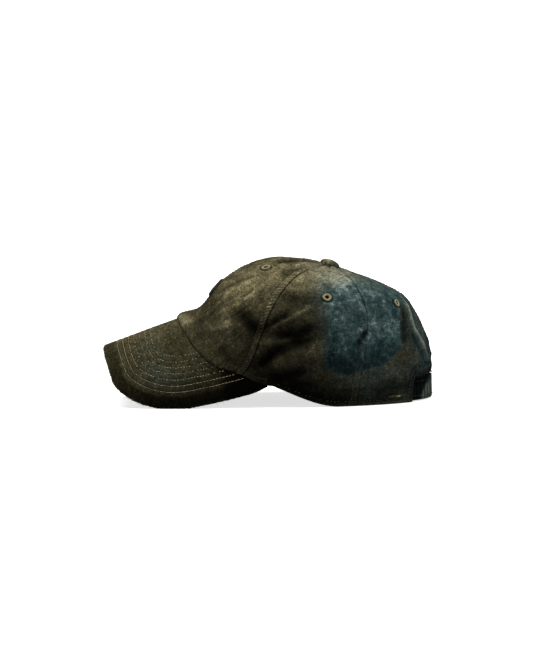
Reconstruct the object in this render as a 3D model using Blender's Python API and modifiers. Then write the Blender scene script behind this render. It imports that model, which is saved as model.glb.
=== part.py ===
"""Six-panel unstructured baseball cap with a curved, stitched visor and a strap-and-buckle closure at the back.

Metres, +Z up. The visor points to -Y and the wearer's left is +X. The cap stands on the two sides of its visor and
on its back hem, so z = 0 is the table, and the origin is under the middle of its bounding box.
Angles named phi run round the crown from the front (0) over the wearer's left (90) to the back (180), and are
negative on the wearer's right. s runs up a crown line from the hem (0) to the top (1).
"""

import math

import bmesh
import bpy
import numpy as np
from mathutils import Matrix, Vector

# Crown: the head opening's plan, and the point where the seams meet.
CROWN_CENTRE_Y = 0.02925
CROWN_FRONT_LENGTH = 0.102
CROWN_BACK_LENGTH = 0.106
CROWN_HALF_WIDTH = 0.076
FRONT_SQUARENESS = 2.3  # superellipse exponents, 2 being an ellipse
BACK_SQUARENESS = 2.1
PINCH_PHI, PINCH_SPREAD, PINCH = 61.0, 9.0, 0.03  # the visor draws the sides in a little
TOP_Y = 0.05175
TOP_Z = 0.110
TOP_TILT = math.radians(20)

# Visor: a developable arch that slopes down forwards from its root.
ROOT_Y = -0.07275
ROOT_Z = 0.070
VISOR_SLOPE = math.radians(19.4)
ARCH_DROP = 0.0755
ARCH_HALF_WIDTH = 0.075
ARCH_POWER = 2.2
VISOR_END_PHI = 78.0  # where the visor's tips meet the hem
VISOR_TIP_PHI = 75.5
VISOR_OUTLINE = [  # half outline of the visor: across, and forward of the root
    (0.0, 0.0680), (0.0158, 0.0688), (0.0405, 0.0695), (0.0491, 0.0688), (0.0575, 0.0617),
    (0.0647, 0.0476), (0.0698, 0.0273), (0.0723, 0.0), (0.0739, -0.0304), (0.0742, -0.0490),
]
HEM_LANDING_Y = 0.05905  # behind this the hem lies on the table
HEM_LANDING_SLOPE = -0.42

# Thicknesses, and the layers' depths below the outer face of the crown.
CLEARANCE = 0.0004
HEM_CLEARANCE = 0.0007
PANEL = 0.0010
TAPE = 0.0006
TAPE_DEPTH = 0.0017
TAPE_HALF_WIDTH = 0.0055
SWEATBAND = 0.0010
SWEATBAND_DEPTH = 0.0028
SWEATBAND_POCKET_DEPTH = 0.0080  # deeper at the back, where the strap runs behind it
VISOR_COVER = 0.0008
VISOR_BOARD = 0.0018
VISOR_GAP = 0.0005
HEM_ALLOWANCE = -0.018  # s at which the panels start, before they are cut along the visor and the table

# Back opening: its edge as (phi, s), over the strap and then up to the back seam, where the cloth flares outwards.
ARCH_EDGE = [(147.0, 0.0), (147.3, 0.05), (148.0, 0.105), (150.5, 0.148), (156.0, 0.169), (162.5, 0.174),
             (166.5, 0.187), (169.5, 0.213), (172.5, 0.250), (176.0, 0.287), (180.0, 0.305)]
ARCH_PHI = ARCH_EDGE[0][0]
ARCH_FLARE = 0.0024

# Strap, an arc that its hinge axis centres, and the buckle that it runs through.
STRAP_CENTRE = (-0.005, 0.07125)
STRAP_RADIUS = 0.06415
STRAP_THICKNESS = 0.0014
STRAP_BOTTOM_Z = 0.0025
STRAP_TOP_Z = 0.0185
STRAP_LEFT_END = 55.0
STRAP_RIGHT_END = -54.0
BUCKLE_ANGLE = -21.0
EAR = 0.0012
PIN_X, PIN_Y, PIN_RADIUS = -0.0030, 0.0019, 0.0009
BAR_X, BAR_Y, BAR_RADIUS = -0.0082, -0.0043, 0.0008

EYELET_RADIUS = 0.0030
EYELET_WALL = 0.0013
EYELETS = {"front": (42.0, 0.66), "side": (99.5, 0.60), "back": (150.5, 0.545)}
BUTTON_RADIUS = 0.0084

CANVAS = (0.10, 0.095, 0.055)
DARK_CANVAS = (0.07, 0.066, 0.04)
THREAD = (0.36, 0.31, 0.18)
TAPE_COLOUR = (0.05, 0.05, 0.04)
BRASS = (0.42, 0.31, 0.14)
PLASTIC = (0.75, 0.75, 0.72)

# Crown lines from hem to top: (share of the plan radius, share of the height).
FRONT_LINE = [(1, 0), (0.975, 0.08), (0.93, 0.128), (0.88, 0.175), (0.835, 0.29), (0.80, 0.43), (0.765, 0.6),
              (0.655, 0.885), (0.5, 1.12), (0.335, 1.2), (0.2, 1.17), (0.1, 1.12), (0, 1)]
SIDE_LINE = [(1, 0), (1.04, 0.22), (0.99, 0.48), (0.84, 0.72), (0.6, 0.9), (0.3, 0.99), (0, 1)]
BACK_LINE = [(1, 0), (1, 0.18), (0.994, 0.364), (0.932, 0.512), (0.813, 0.695), (0.693, 0.794),
             (0.455, 0.887), (0.2, 0.952), (0, 1)]


def smooth_line(points, steps=14):
    """A Catmull-Rom curve through the points, as an array."""
    p = np.array(points, float)
    p = np.vstack([2 * p[0] - p[1], p, 2 * p[-1] - p[-2]])
    t = np.linspace(0, 1, steps, endpoint=False)[:, None]
    spans = [
        0.5 * (2 * b + (c - a) * t + (2 * a - 5 * b + 4 * c - d) * t**2 + (3 * b - a - 3 * c + d) * t**3)
        for a, b, c, d in zip(p, p[1:], p[2:], p[3:])
    ]
    return np.vstack([*spans, p[-2]])


def by_length(points, scale=(1, 1)):
    """A function from 0..1 along the curve's length to a point on it."""
    curve = smooth_line(points)
    steps = np.linalg.norm(np.diff(curve, axis=0) * np.array(scale), axis=1)
    along = np.r_[0, np.cumsum(steps)] / steps.sum()
    return lambda share: np.array([np.interp(share, along, curve[:, k]) for k in (0, 1)])


front_line = by_length(FRONT_LINE, (TOP_Y - ROOT_Y, TOP_Z - ROOT_Z))
side_line = by_length(SIDE_LINE, (CROWN_HALF_WIDTH, TOP_Z))
back_line = by_length(BACK_LINE, (CROWN_CENTRE_Y + CROWN_BACK_LENGTH - TOP_Y, TOP_Z))
visor_outline = by_length(VISOR_OUTLINE)


def visor_drop(x):
    return ARCH_DROP * (abs(x) / ARCH_HALF_WIDTH) ** ARCH_POWER


def hem_plan(phi):
    """x and y of the hem at an angle from 0 to 180."""
    a = math.radians(phi)
    power = 2 / (FRONT_SQUARENESS if phi < 90 else BACK_SQUARENESS)
    length = CROWN_FRONT_LENGTH if phi < 90 else CROWN_BACK_LENGTH
    x = CROWN_HALF_WIDTH * math.sin(a) ** power
    x *= 1 - PINCH * math.exp(-(((phi - PINCH_PHI) / PINCH_SPREAD) ** 2))
    return x, CROWN_CENTRE_Y - math.copysign(length * abs(math.cos(a)) ** power, math.cos(a))


def visor_top_z(x, y):
    return ROOT_Z + math.tan(VISOR_SLOPE) * (y - ROOT_Y) - visor_drop(x) / math.cos(VISOR_SLOPE)


def hem_z(phi):
    """The hem lies along the visor, then drops to the table behind the visor's tips."""
    x, y = hem_plan(min(phi, VISOR_END_PHI))
    height = visor_top_z(x, y)
    if phi <= VISOR_END_PHI:
        return height
    run = HEM_LANDING_Y - y
    t = min(1.0, (hem_plan(phi)[1] - y) / run)
    return height * (2 * t**3 - 3 * t**2 + 1) + HEM_LANDING_SLOPE * run * (t**3 - 2 * t**2 + t)


def crown(phi, s):
    """A point on the crown's outer face, which runs straight on below the hem."""
    if s < 0:
        return crown(phi, 0) + (crown(phi, 0.01) - crown(phi, 0)) * (s / 0.01)
    angle = abs(phi)
    end = math.cos(math.radians(angle)) ** 2
    line = front_line if angle < 90 else back_line
    radius, height = line(s) * end + side_line(s) * (1 - end)
    x, y = hem_plan(angle)
    low = hem_z(angle)
    t = min(1.0, max(0.0, (angle - 150) / 9))
    flare = ARCH_FLARE * t * t * (3 - 2 * t) * math.exp(-(((s - 0.19) / 0.06) ** 2))
    back = TOP_Y + radius * (y - TOP_Y) + flare
    return Vector((math.copysign(radius * x, phi), back, low + height * (TOP_Z - low)))


def crown_normal(phi, s, step=0.004):
    """Outward normal of the crown."""
    up = crown(phi, min(s + step, 0.999)) - crown(phi, max(s - step, 0.0))
    degrees = 200 * step
    near, far = max(-179.99, phi - degrees), min(179.99, phi + degrees)
    if near < 0 < far and min(-near, far) < degrees:
        near, far = -degrees, degrees
    return (crown(far, s) - crown(near, s)).cross(up).normalized()


def under(phi, s, depth):
    """A point that far below the crown's outer face; a negative depth is above it."""
    return crown(phi, s) - crown_normal(phi, s) * depth


def width_in_degrees(phi, s, width):
    """How many degrees of phi span that width on the crown."""
    return width / max(1e-5, (crown(phi + 0.5, s) - crown(phi - 0.5, s)).length)


def seam_front(_):
    return 0.0


def seam_side_front(s):
    return 62.5 + 13 * (1 - math.exp(-5 * s))


def seam_side_back(s):
    t = min(1.0, s / 0.6)
    return 113 + 9.5 * t * t * (3 - 2 * t)


def seam_back(_):
    return 180.0


def over_visor(share, outward):
    """A point the hem's clearance above the visor's face, at a share of the way round the hem and that far outside it."""
    x, y = hem_plan(max(1e-3, abs(share) * (VISOR_TIP_PHI + 1.2)))
    away = Vector((x, y - CROWN_CENTRE_Y, 0)).normalized() * outward
    x, y = x + away.x, y + away.y
    return Vector((math.copysign(x, share), y, visor_top_z(x, y) + HEM_CLEARANCE / visor_normal(x).z))


VISOR_AHEAD = Vector((0, -math.cos(VISOR_SLOPE), -math.sin(VISOR_SLOPE)))
VISOR_UP = Vector((0, -math.sin(VISOR_SLOPE), math.cos(VISOR_SLOPE)))


def visor_normal(x):
    lean = math.copysign(ARCH_POWER * visor_drop(x) / max(abs(x), 1e-6), x)
    return (VISOR_UP + Vector((lean, 0, 0))).normalized()


def visor_point(x, forward, depth=0.0):
    """A point on the visor's top face, or that far below it along its normal."""
    middle = Vector((x, ROOT_Y, ROOT_Z)) + VISOR_AHEAD * forward
    return middle - VISOR_UP * visor_drop(x) - visor_normal(x) * depth


def visor_inner(share, inset, depth):
    """x and forward of the visor's inner edge, from its middle (0) to its tip (1), for a layer that deep whose
    innermost point is inset from the crown's face."""
    x, y = hem_plan(max(1e-3, share * VISOR_TIP_PHI))
    outward = Vector((x, y - CROWN_CENTRE_Y, 0)).normalized()
    inset -= depth * visor_normal(x).dot(outward)
    x, y = x - inset * outward.x, y - inset * outward.y
    forward = (ROOT_Y + visor_drop(x) * math.sin(VISOR_SLOPE) - y) / math.cos(VISOR_SLOPE)
    return np.array([x, forward])


# ---- modelling helpers ----


def material(name, colour, roughness=0.9, metallic=0.0):
    found = bpy.data.materials.get(name)
    if found:
        return found
    made = bpy.data.materials.new(name)
    made.use_nodes = True
    shader = made.node_tree.nodes["Principled BSDF"]
    shader.inputs["Base Color"].default_value = (*colour, 1)
    shader.inputs["Roughness"].default_value = roughness
    shader.inputs["Metallic"].default_value = metallic
    return made


def add_object(name, data, paint, collection=None):
    obj = bpy.data.objects.new(name, data)
    (collection or CAP).objects.link(obj)
    if paint:
        data.materials.append(paint)
    return obj


def grid_shell(name, point, columns, rows, thickness, paint, flip=False):
    """An open grid of point(u, v), thickened by Solidify away from its normals."""
    n = len(columns)
    corners = [point(u, v) for v in rows for u in columns]
    quads = [(j * n + i, j * n + i + 1, (j + 1) * n + i + 1, (j + 1) * n + i)
             for j in range(len(rows) - 1) for i in range(n - 1)]
    mesh = bpy.data.meshes.new(name)
    mesh.from_pydata(corners, [], [q[::-1] for q in quads] if flip else quads)
    mesh.shade_smooth()
    obj = add_object(name, mesh, paint)
    solid = obj.modifiers.new("thickness", "SOLIDIFY")
    solid.thickness = thickness
    solid.offset = -1
    return obj


def turned(name, profile, paint, closed=False, steps=24):
    """A profile in the XZ plane turned about Z. It runs down its outer side, from the axis unless it is closed."""
    n = len(profile)
    edges = [(i, i + 1) for i in range(n - 1)] + ([(n - 1, 0)] if closed else [])
    mesh = bpy.data.meshes.new(name)
    mesh.from_pydata([(r, 0, z) for r, z in profile], edges, [])
    obj = add_object(name, mesh, paint)
    screw = obj.modifiers.new("turn", "SCREW")
    screw.steps = screw.render_steps = steps
    screw.use_merge_vertices = True
    screw.merge_threshold = 0.00005
    screw.use_smooth_shade = True
    return obj


def outline_solid(name, outline, bottom, top, paint, origin=(0.0, 0.0)):
    """A flat outline raised between two heights, as an object whose origin is at a point in plan."""
    curve = bpy.data.curves.new(name, "CURVE")
    curve.dimensions = "2D"
    curve.fill_mode = "BOTH"
    curve.extrude = (top - bottom) / 2
    spline = curve.splines.new("POLY")
    spline.points.add(len(outline) - 1)
    for point, (x, y) in zip(spline.points, outline):
        point.co = (x - origin[0], y - origin[1], 0, 1)
    spline.use_cyclic_u = True
    obj = add_object(name, curve, paint)
    obj.location = (*origin, (top + bottom) / 2)
    return obj


def tube(name, points, radius, paint, closed=False, resolution=1):
    curve = bpy.data.curves.new(name, "CURVE")
    curve.dimensions = "3D"
    curve.bevel_depth = radius
    curve.bevel_resolution = resolution
    curve.use_fill_caps = True
    spline = curve.splines.new("POLY")
    spline.points.add(len(points) - 1)
    for point, place in zip(spline.points, points):
        point.co = (*place, 1)
    spline.use_cyclic_u = closed
    return add_object(name, curve, paint)


def box(name, low, high, paint=None, collection=None):
    """A box between two corners, as a primitive whose scale is applied."""
    mesh = bpy.data.meshes.new(name)
    shape = bmesh.new()
    bmesh.ops.create_cube(shape, size=1)
    size = [b - a for a, b in zip(low, high)]
    middle = [(a + b) / 2 for a, b in zip(low, high)]
    bmesh.ops.transform(shape, matrix=Matrix.Translation(middle) @ Matrix.Diagonal((*size, 1)), verts=shape.verts)
    shape.to_mesh(mesh)
    shape.free()
    return add_object(name, mesh, paint, collection)


def prism_below(name, point, columns, rows, floor):
    """A closed solid from a grid of point(u, v) straight down to a floor."""
    shape = bmesh.new()
    grid = [[shape.verts.new(point(u, v)) for u in columns] for v in rows]
    for lower, upper in zip(grid, grid[1:]):
        for i in range(len(columns) - 1):
            shape.faces.new((lower[i], lower[i + 1], upper[i + 1], upper[i]))
    down = bmesh.ops.extrude_face_region(shape, geom=shape.faces[:], use_keep_orig=True)
    for vertex in (v for v in down["geom"] if isinstance(v, bmesh.types.BMVert)):
        vertex.co.z = floor
    bmesh.ops.recalc_face_normals(shape, faces=shape.faces[:])
    mesh = bpy.data.meshes.new(name)
    shape.to_mesh(mesh)
    shape.free()
    return add_object(name, mesh, None, CUTTERS)


def rod(name, radius, bottom, top, paint=None, collection=None, x=0.0, y=0.0, segments=16):
    mesh = bpy.data.meshes.new(name)
    shape = bmesh.new()
    bmesh.ops.create_cone(shape, cap_ends=True, segments=segments, radius1=radius, radius2=radius, depth=top - bottom)
    bmesh.ops.translate(shape, verts=shape.verts, vec=(x, y, (top + bottom) / 2))
    shape.to_mesh(mesh)
    shape.free()
    return add_object(name, mesh, paint, collection)


def helper(obj):
    obj.hide_render = True
    obj.display_type = "WIRE"
    return obj


def boolean(obj, other, operation="DIFFERENCE"):
    modifier = obj.modifiers.new(other.name, "BOOLEAN")
    modifier.operation = operation
    modifier.object = other


def onto_crown(phi, s, depth=0.0):
    """The place of a piece on the crown: its Z along the outward normal, its Y up the crown."""
    normal = crown_normal(phi, s)
    up = (crown(phi, s + 0.01) - crown(phi, s - 0.01)).normalized()
    across = up.cross(normal).normalized()
    up = normal.cross(across)
    turn = Matrix((across, up, normal)).transposed().to_4x4()
    return Matrix.Translation(under(phi, s, depth)) @ turn


# ---- the crown ----

PANEL_ROWS = [HEM_ALLOWANCE, 0, 0.035, 0.08, 0.13, 0.18, 0.235, 0.3, 0.37, 0.44, 0.52, 0.6, 0.68, 0.76, 0.84, 0.91, 0.972]
PANEL_COLUMNS = np.linspace(0, 1, 8)
ARCH_START = (ARCH_PHI - seam_side_back(0)) / (180 - seam_side_back(0))
BACK_COLUMNS = [*np.linspace(0, ARCH_START, 6), *(ARCH_START + (1 - ARCH_START) * np.array(
    [0.012, 0.045, 0.12, 0.25, 0.42, 0.56, 0.68, 0.8, 1.0]))]


ARCH_CURVE = smooth_line(ARCH_EDGE, 6)


def arch_s(phi):
    """The edge of the back opening, as s over the hem."""
    return float(np.interp(phi, ARCH_CURVE[:, 0], ARCH_CURVE[:, 1], left=0.0))


def panel(side, where, front_seam, back_seam, columns, arched=False):
    sign = 1 if side == "left" else -1
    last = PANEL_ROWS[-1]

    def point(u, row):
        start = arch_s(front_seam(0) + u * (back_seam(0) - front_seam(0))) if arched else 0.0
        s = start + row * (last - start) / last if start else row
        middle = (front_seam(s) + back_seam(s)) / 2
        trim = width_in_degrees(middle, s, CLEARANCE / 2)
        a, b = front_seam(s) + trim, back_seam(s) - trim
        return crown(sign * (a + u * (b - a)), s)

    paint = material("canvas", CANVAS)
    return grid_shell(f"{where}_panel_{side}", point, columns, PANEL_ROWS, PANEL, paint, flip=sign < 0)


def seam_tape(name, seam, sign, rows):
    def point(u, s):
        middle = seam(s)
        return under(sign * (middle + u * width_in_degrees(middle, s, TAPE_HALF_WIDTH)), s, TAPE_DEPTH)

    def centred(u, s):
        angle = seam(s) + u * width_in_degrees(90, s, TAPE_HALF_WIDTH)
        return under(angle if angle <= 180 else angle - 360, s, TAPE_DEPTH)

    whole = seam(0) in (0.0, 180.0)
    paint = material("seam_tape", TAPE_COLOUR)
    grid_shell(name, centred if whole else point, [-1, 0, 1], rows, TAPE, paint, flip=sign < 0)


def pocket_depth(phi):
    t = min(1.0, max(0.0, (abs(phi) - 100) / 20))
    return SWEATBAND_DEPTH + (SWEATBAND_POCKET_DEPTH - SWEATBAND_DEPTH) * t * t * (3 - 2 * t)


def make_crown():
    panels = {}
    for side in ("left", "right"):
        panels["front", side] = panel(side, "front", seam_front, seam_side_front, PANEL_COLUMNS)
        panels["side", side] = panel(side, "side", seam_side_front, seam_side_back, PANEL_COLUMNS)
        panels["back", side] = panel(side, "back", seam_side_back, seam_back, BACK_COLUMNS, arched=True)
        for where in ("front", "side"):
            boolean(panels[where, side], BELOW_VISOR)
        for where in ("side", "back"):
            boolean(panels[where, side], TABLE)
    for (where, side), obj in panels.items():
        make_eyelet(where, side, obj)
    make_tuck_slot(panels["back", "right"])

    seam_tape("seam_tape_front", seam_front, 1, PANEL_ROWS[6:-1])
    seam_tape("seam_tape_back", seam_back, 1, [0.4, *PANEL_ROWS[9:-1]])
    for side, sign in (("left", 1), ("right", -1)):
        seam_tape(f"seam_tape_front_{side}", seam_side_front, sign, PANEL_ROWS[6:-1])
        seam_tape(f"seam_tape_back_{side}", seam_side_back, sign, PANEL_ROWS[6:-1])


def make_eyelet(where, side, obj):
    """An embroidered ring that lines the edge of a round air hole."""
    phi, s = EYELETS[where]
    place = onto_crown(phi if side == "left" else -phi, s, PANEL / 2)
    cutter = helper(rod(f"cut_eyelet_{where}_{side}", EYELET_RADIUS + EYELET_WALL + CLEARANCE, -0.006, 0.006,
                        collection=CUTTERS))
    cutter.matrix_world = place
    boolean(obj, cutter)
    bpy.ops.mesh.primitive_torus_add(
        major_radius=EYELET_RADIUS, minor_radius=EYELET_WALL, major_segments=14, minor_segments=6)
    ring = bpy.context.active_object
    for collection in list(ring.users_collection):
        collection.objects.unlink(ring)
    CAP.objects.link(ring)
    ring.name = f"eyelet_{where}_{side}"
    ring.data.materials.append(material("thread", THREAD))
    ring.data.shade_smooth()
    ring.matrix_world = place


def make_tuck_slot(obj):
    """The stitched slot in the wearer's right back panel that the strap's tail tucks into."""
    half_height, half_width, wall = 0.0072, 0.0017, 0.0009
    phi, s = -123.0, 0.078
    place = onto_crown(phi, s, PANEL / 2)
    corner = []
    for middle, start in ((half_height - half_width, 0), (half_width - half_height, 180)):
        for step in range(7):
            a = math.radians(start + 30 * step)
            corner.append(Vector((half_width * math.cos(a), middle + half_width * math.sin(a), 0)))
    reach = wall + CLEARANCE
    cutter = helper(box("cut_tuck_slot", (-half_width - reach, -half_height - reach, -0.006),
                        (half_width + reach, half_height + reach, 0.006), collection=CUTTERS))
    cutter.matrix_world = place
    boolean(obj, cutter)
    rim = tube("tuck_slot_stitching", corner, wall, material("thread", THREAD), closed=True)
    rim.matrix_world = place


def make_sweatband():
    limit = ARCH_PHI - 2

    def point(phi, row):
        low = 0.035 if abs(phi) < VISOR_END_PHI + 4 else 0.012
        return under(phi, low + row * (0.195 - low), pocket_depth(phi))

    columns = [*np.linspace(-limit, -1, 21), *np.linspace(1, limit, 21)]
    grid_shell("sweatband", point, columns, [0, 0.35, 0.7, 1], SWEATBAND, material("sweatband", DARK_CANVAS))


def make_arch_binding():
    """The tape folded over the edge of the back opening, on its inner side."""
    scale = np.array([1.25, 150.0])  # millimetres to a degree of phi, and to s
    edge = smooth_line(ARCH_EDGE, 3) * scale
    line = np.vstack([edge, (edge * (-1, 1) + (360 * scale[0], 0))[-2::-1]])
    line = line[line[:, 1] > 0.02 * scale[1]]
    along = np.gradient(line, axis=0)
    outward = np.stack([-along[:, 1], along[:, 0]], 1) / np.linalg.norm(along, axis=1)[:, None]

    def point(place, out):
        angle, s = (line[int(place)] + outward[int(place)] * (1.2 + 6.5 * out)) / scale
        return under(angle if angle <= 180 else angle - 360, s, TAPE_DEPTH)

    grid_shell("arch_binding", point, range(len(line)), [0, 0.5, 1], TAPE, material("seam_tape", TAPE_COLOUR))


def make_front_patch():
    """A plain oval embroidered patch, domed a little, on the front seam."""
    half_phi, half_s, rise = 11.0, 0.062, 0.0012
    bpy.ops.mesh.primitive_uv_sphere_add(segments=20, ring_count=8, radius=1)
    patch = bpy.context.active_object
    for collection in list(patch.users_collection):
        collection.objects.unlink(patch)
    CAP.objects.link(patch)
    patch.name = "front_patch"
    patch.data.materials.append(material("patch", DARK_CANVAS))
    for vertex in patch.data.vertices:
        x, y, z = vertex.co
        height = CLEARANCE + 0.0001 + rise * (0.5 + 0.5 * z)
        vertex.co = under(half_phi * x, 0.283 + half_s * y, -height)
    patch.data.shade_smooth()


def make_labels():
    paint = material("label", (0.5, 0.5, 0.48))
    for name, phis, rows in (("size_label", (126, 134), (0.25, 0.33)), ("care_label", (140, 150), (0.40, 0.55))):
        grid_shell(name, lambda phi, s: under(phi, s, 0.0030), np.linspace(*phis, 4), np.linspace(*rows, 4),
                   0.0004, paint)


def make_button():
    """The covered button: a fabric cap over a riveted core, with a washer inside the crown."""
    seat = bpy.data.objects.new("button_seat", None)
    CAP.objects.link(seat)
    seat.matrix_world = Matrix.Translation((0, TOP_Y, TOP_Z + CLEARANCE)) @ Matrix.Rotation(-TOP_TILT, 4, "X")
    r = BUTTON_RADIUS
    cover = [(0, 0.0058), (0.5 * r, 0.0053), (0.85 * r, 0.0038), (r, 0.0020), (0.985 * r, 0.0008),
             (0.87 * r, 0.0008), (0.885 * r, 0.0019), (0.76 * r, 0.0031), (0.46 * r, 0.0044), (0, 0.0049)]
    core = [(0, 0.0044), (0.42 * r, 0.0039), (0.7 * r, 0.0027), (0.82 * r, 0.0016), (0.8 * r, 0.0010),
            (0.0015, 0.0010), (0.0015, -0.0045), (0.0030, -0.0046), (0.0030, -0.0055), (0, -0.0057)]
    washer = [(0.0018, -0.0031), (0.0062, -0.0031), (0.0064, -0.0035), (0.0062, -0.0040), (0.0018, -0.0040)]
    parts = [turned("top_button_cover", cover, material("canvas", CANVAS)),
             turned("top_button_core", core, material("steel", (0.5, 0.5, 0.5), 0.4, 1.0)),
             turned("top_button_washer", washer, material("steel", (0.5, 0.5, 0.5), 0.4, 1.0), closed=True)]
    for part in parts:
        part.parent = seat


# ---- the visor ----

VISOR_COLUMNS = np.sin(np.linspace(-math.pi / 2, math.pi / 2, 33) * 0.86) / math.sin(math.pi / 2 * 0.86)


def visor_layer(name, depth, thickness, overhang, end, paint, lip=0.0, rows=5):
    """One layer of the visor, from the crown out to its outline plus an overhang, and along it as far as end. A lip
    turns its outer edge down round the layers below."""
    def point(u, v):
        share = abs(u)
        inner = visor_inner(share, 2 * PANEL, depth + thickness)
        along = visor_outline(share + 0.004) - visor_outline(share - 0.004) if share > 0.01 else np.array([1.0, 0])
        outward = np.array([-along[1], along[0]]) / np.linalg.norm(along)
        taper = min(1.0, 0.45 + (1 - share) / 0.12)
        outer = visor_outline(share) + overhang * taper * outward
        side = 1 if u >= 0 else -1
        if v <= 1:
            x, forward = inner + (outer - inner) * v
            return visor_point(side * x, forward, depth)
        turn = (v - 1) * math.pi / 2
        x, forward = outer + lip * taper * math.sin(turn) * outward
        return visor_point(side * x, forward, depth + lip * taper * (1 - math.cos(turn)))

    steps = [*np.linspace(0, 1, rows), *([1.5, 2.0] if lip else [])]
    columns = [-end, *(u for u in VISOR_COLUMNS if abs(u) < end), end]
    return grid_shell(name, point, columns, steps, thickness, paint, flip=True)


def make_visor():
    canvas = material("visor_canvas", CANVAS)
    depth_board = VISOR_COVER + VISOR_GAP
    depth_under = depth_board + VISOR_BOARD + VISOR_GAP
    top = visor_layer("visor_top_cover", 0, VISOR_COVER, -0.0022, 1.0, canvas, lip=0.0022, rows=7)
    visor_layer("visor_board", depth_board, VISOR_BOARD, -0.0040, 0.88, material("board", PLASTIC))
    bottom = visor_layer("visor_under_cover", depth_under, VISOR_COVER, -0.0028, 0.95, canvas)
    for cover in (top, bottom):
        boolean(cover, TABLE)


# ---- the closure ----


def on_strap(angle, radius):
    """x and y at an angle from straight back towards the wearer's left, about the strap's axis."""
    a = math.radians(angle)
    return STRAP_CENTRE[0] + radius * math.sin(a), STRAP_CENTRE[1] + radius * math.cos(a)


def ribbon_outline(points, thickness):
    """The closed outline of a band that follows a line in plan."""
    line = np.array(points)
    along = np.gradient(line, axis=0)
    along /= np.linalg.norm(along, axis=1)[:, None]
    side = np.stack([-along[:, 1], along[:, 0]], axis=1) * thickness / 2
    return [*(line + side), *(line - side)[::-1]]


def make_strap():
    radius = STRAP_RADIUS - STRAP_THICKNESS / 2
    line = [on_strap(a, radius) for a in np.linspace(STRAP_RIGHT_END, STRAP_LEFT_END, 31)]
    outline_solid("strap", ribbon_outline(line, STRAP_THICKNESS), STRAP_BOTTOM_Z, STRAP_TOP_Z,
                  material("canvas", CANVAS), origin=STRAP_CENTRE)
    tack = [under(phi, 0.041, -0.0009) for phi in np.linspace(129.5, 136.5, 6)]
    tube("strap_bar_tack", tack, 0.0005, material("thread", THREAD))


def make_buckle():
    """A cam buckle: two ears joined by a plate under the strap and a bar for the loop, and a lever on a pin."""
    brass = material("brass", BRASS, 0.45, 1.0)
    seat = bpy.data.objects.new("buckle_seat", None)
    CAP.objects.link(seat)
    seat.location = (*on_strap(BUCKLE_ANGLE, STRAP_RADIUS), 0)
    seat.rotation_euler.z = -math.radians(BUCKLE_ANGLE)
    low, high = STRAP_BOTTOM_Z - CLEARANCE, STRAP_TOP_Z + CLEARANCE

    ear_low, ear_high = (-0.0100, -0.0057), (0.0065, 0.0029)
    frame = box("buckle_frame", (*ear_low, low - EAR), (*ear_high, low), brass)
    upper = helper(box("join_ear", (*ear_low, high), (*ear_high, high + EAR), collection=CUTTERS))
    plate = helper(box("join_plate", (-0.0050, -0.0034, low - EAR / 2), (0.0062, -0.0024, high + EAR / 2),
                       collection=CUTTERS))
    bar = helper(rod("join_bar", BAR_RADIUS, low - EAR / 2, high + EAR / 2, collection=CUTTERS, x=BAR_X, y=BAR_Y))
    hole = helper(rod("cut_pin_hole", PIN_RADIUS + 0.0001, low - 2 * EAR, high + 2 * EAR, collection=CUTTERS,
                      x=PIN_X, y=PIN_Y))
    for piece in (plate, upper, bar):
        boolean(frame, piece, "UNION")
    boolean(frame, hole)
    pin = rod("buckle_pin", PIN_RADIUS, low - EAR - 0.0003, high + EAR + 0.0003, brass, x=PIN_X, y=PIN_Y)

    lever = box("buckle_lever", (0, -0.0013, STRAP_BOTTOM_Z), (0.0092, -0.0003, STRAP_TOP_Z), brass)
    lever.location = (PIN_X, PIN_Y, 0)
    barrel = helper(rod("join_barrel", 0.0015, STRAP_BOTTOM_Z + 0.0001, STRAP_TOP_Z - 0.0001, collection=CUTTERS,
                        x=PIN_X, y=PIN_Y))
    lip = helper(rod("join_lip", 0.0009, STRAP_BOTTOM_Z + 0.0002, STRAP_TOP_Z - 0.0002, collection=CUTTERS,
                     x=0.0063, y=PIN_Y - 0.0003, segments=12))
    boolean(lever, barrel, "UNION")
    boolean(lever, lip, "UNION")
    boolean(lever, hole)
    for piece in (frame, upper, plate, bar, hole, pin, lever, barrel, lip):
        piece.parent = seat

    bar_r = math.hypot(STRAP_RADIUS + BAR_Y, BAR_X)
    bar_angle = BUCKLE_ANGLE + math.degrees(math.atan2(BAR_X, STRAP_RADIUS + BAR_Y))
    bend = BAR_RADIUS + 0.00035 + 0.0004
    degrees = math.degrees(bend / bar_r)
    turn = [(bar_angle + degrees * math.sin(math.radians(a)), bar_r + bend * math.cos(math.radians(a)))
            for a in range(0, 181, 30)]
    outer_leg = [(-49, 0.0570), (-42, 0.0572), (-38.5, 0.0578), (-35.5, 0.0587), (-32.5, 0.0605), (-30.8, 0.0616)]
    inner_leg = [(-30.8, 0.0585), (-33, 0.0575), (-37, 0.0565), (-42, 0.0560), (-49, 0.0558)]
    line = [on_strap(a, r) for a, r in (*outer_leg, *turn, *inner_leg)]
    outline_solid("buckle_loop", ribbon_outline(line, 0.0008), 0.0045, 0.0165, material("canvas", CANVAS))


# ---- the assembly ----

for old in list(bpy.data.objects):
    bpy.data.objects.remove(old)
CAP = bpy.data.collections.new("baseball_cap")
CUTTERS = bpy.data.collections.new("cutters")
for group in (CAP, CUTTERS):
    bpy.context.scene.collection.children.link(group)
TABLE = helper(box("cut_table", (-0.2, -0.2, -0.05), (0.2, 0.2, 0), collection=CUTTERS))
BELOW_VISOR = helper(prism_below("cut_below_visor", over_visor, np.linspace(-1, 1, 41), (-0.0024, -0.001, 0, 0.003, 0.015),
                                  -0.1))

make_crown()
make_sweatband()
make_arch_binding()
make_front_patch()
make_labels()
make_button()
make_visor()
make_strap()
make_buckle()
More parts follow.
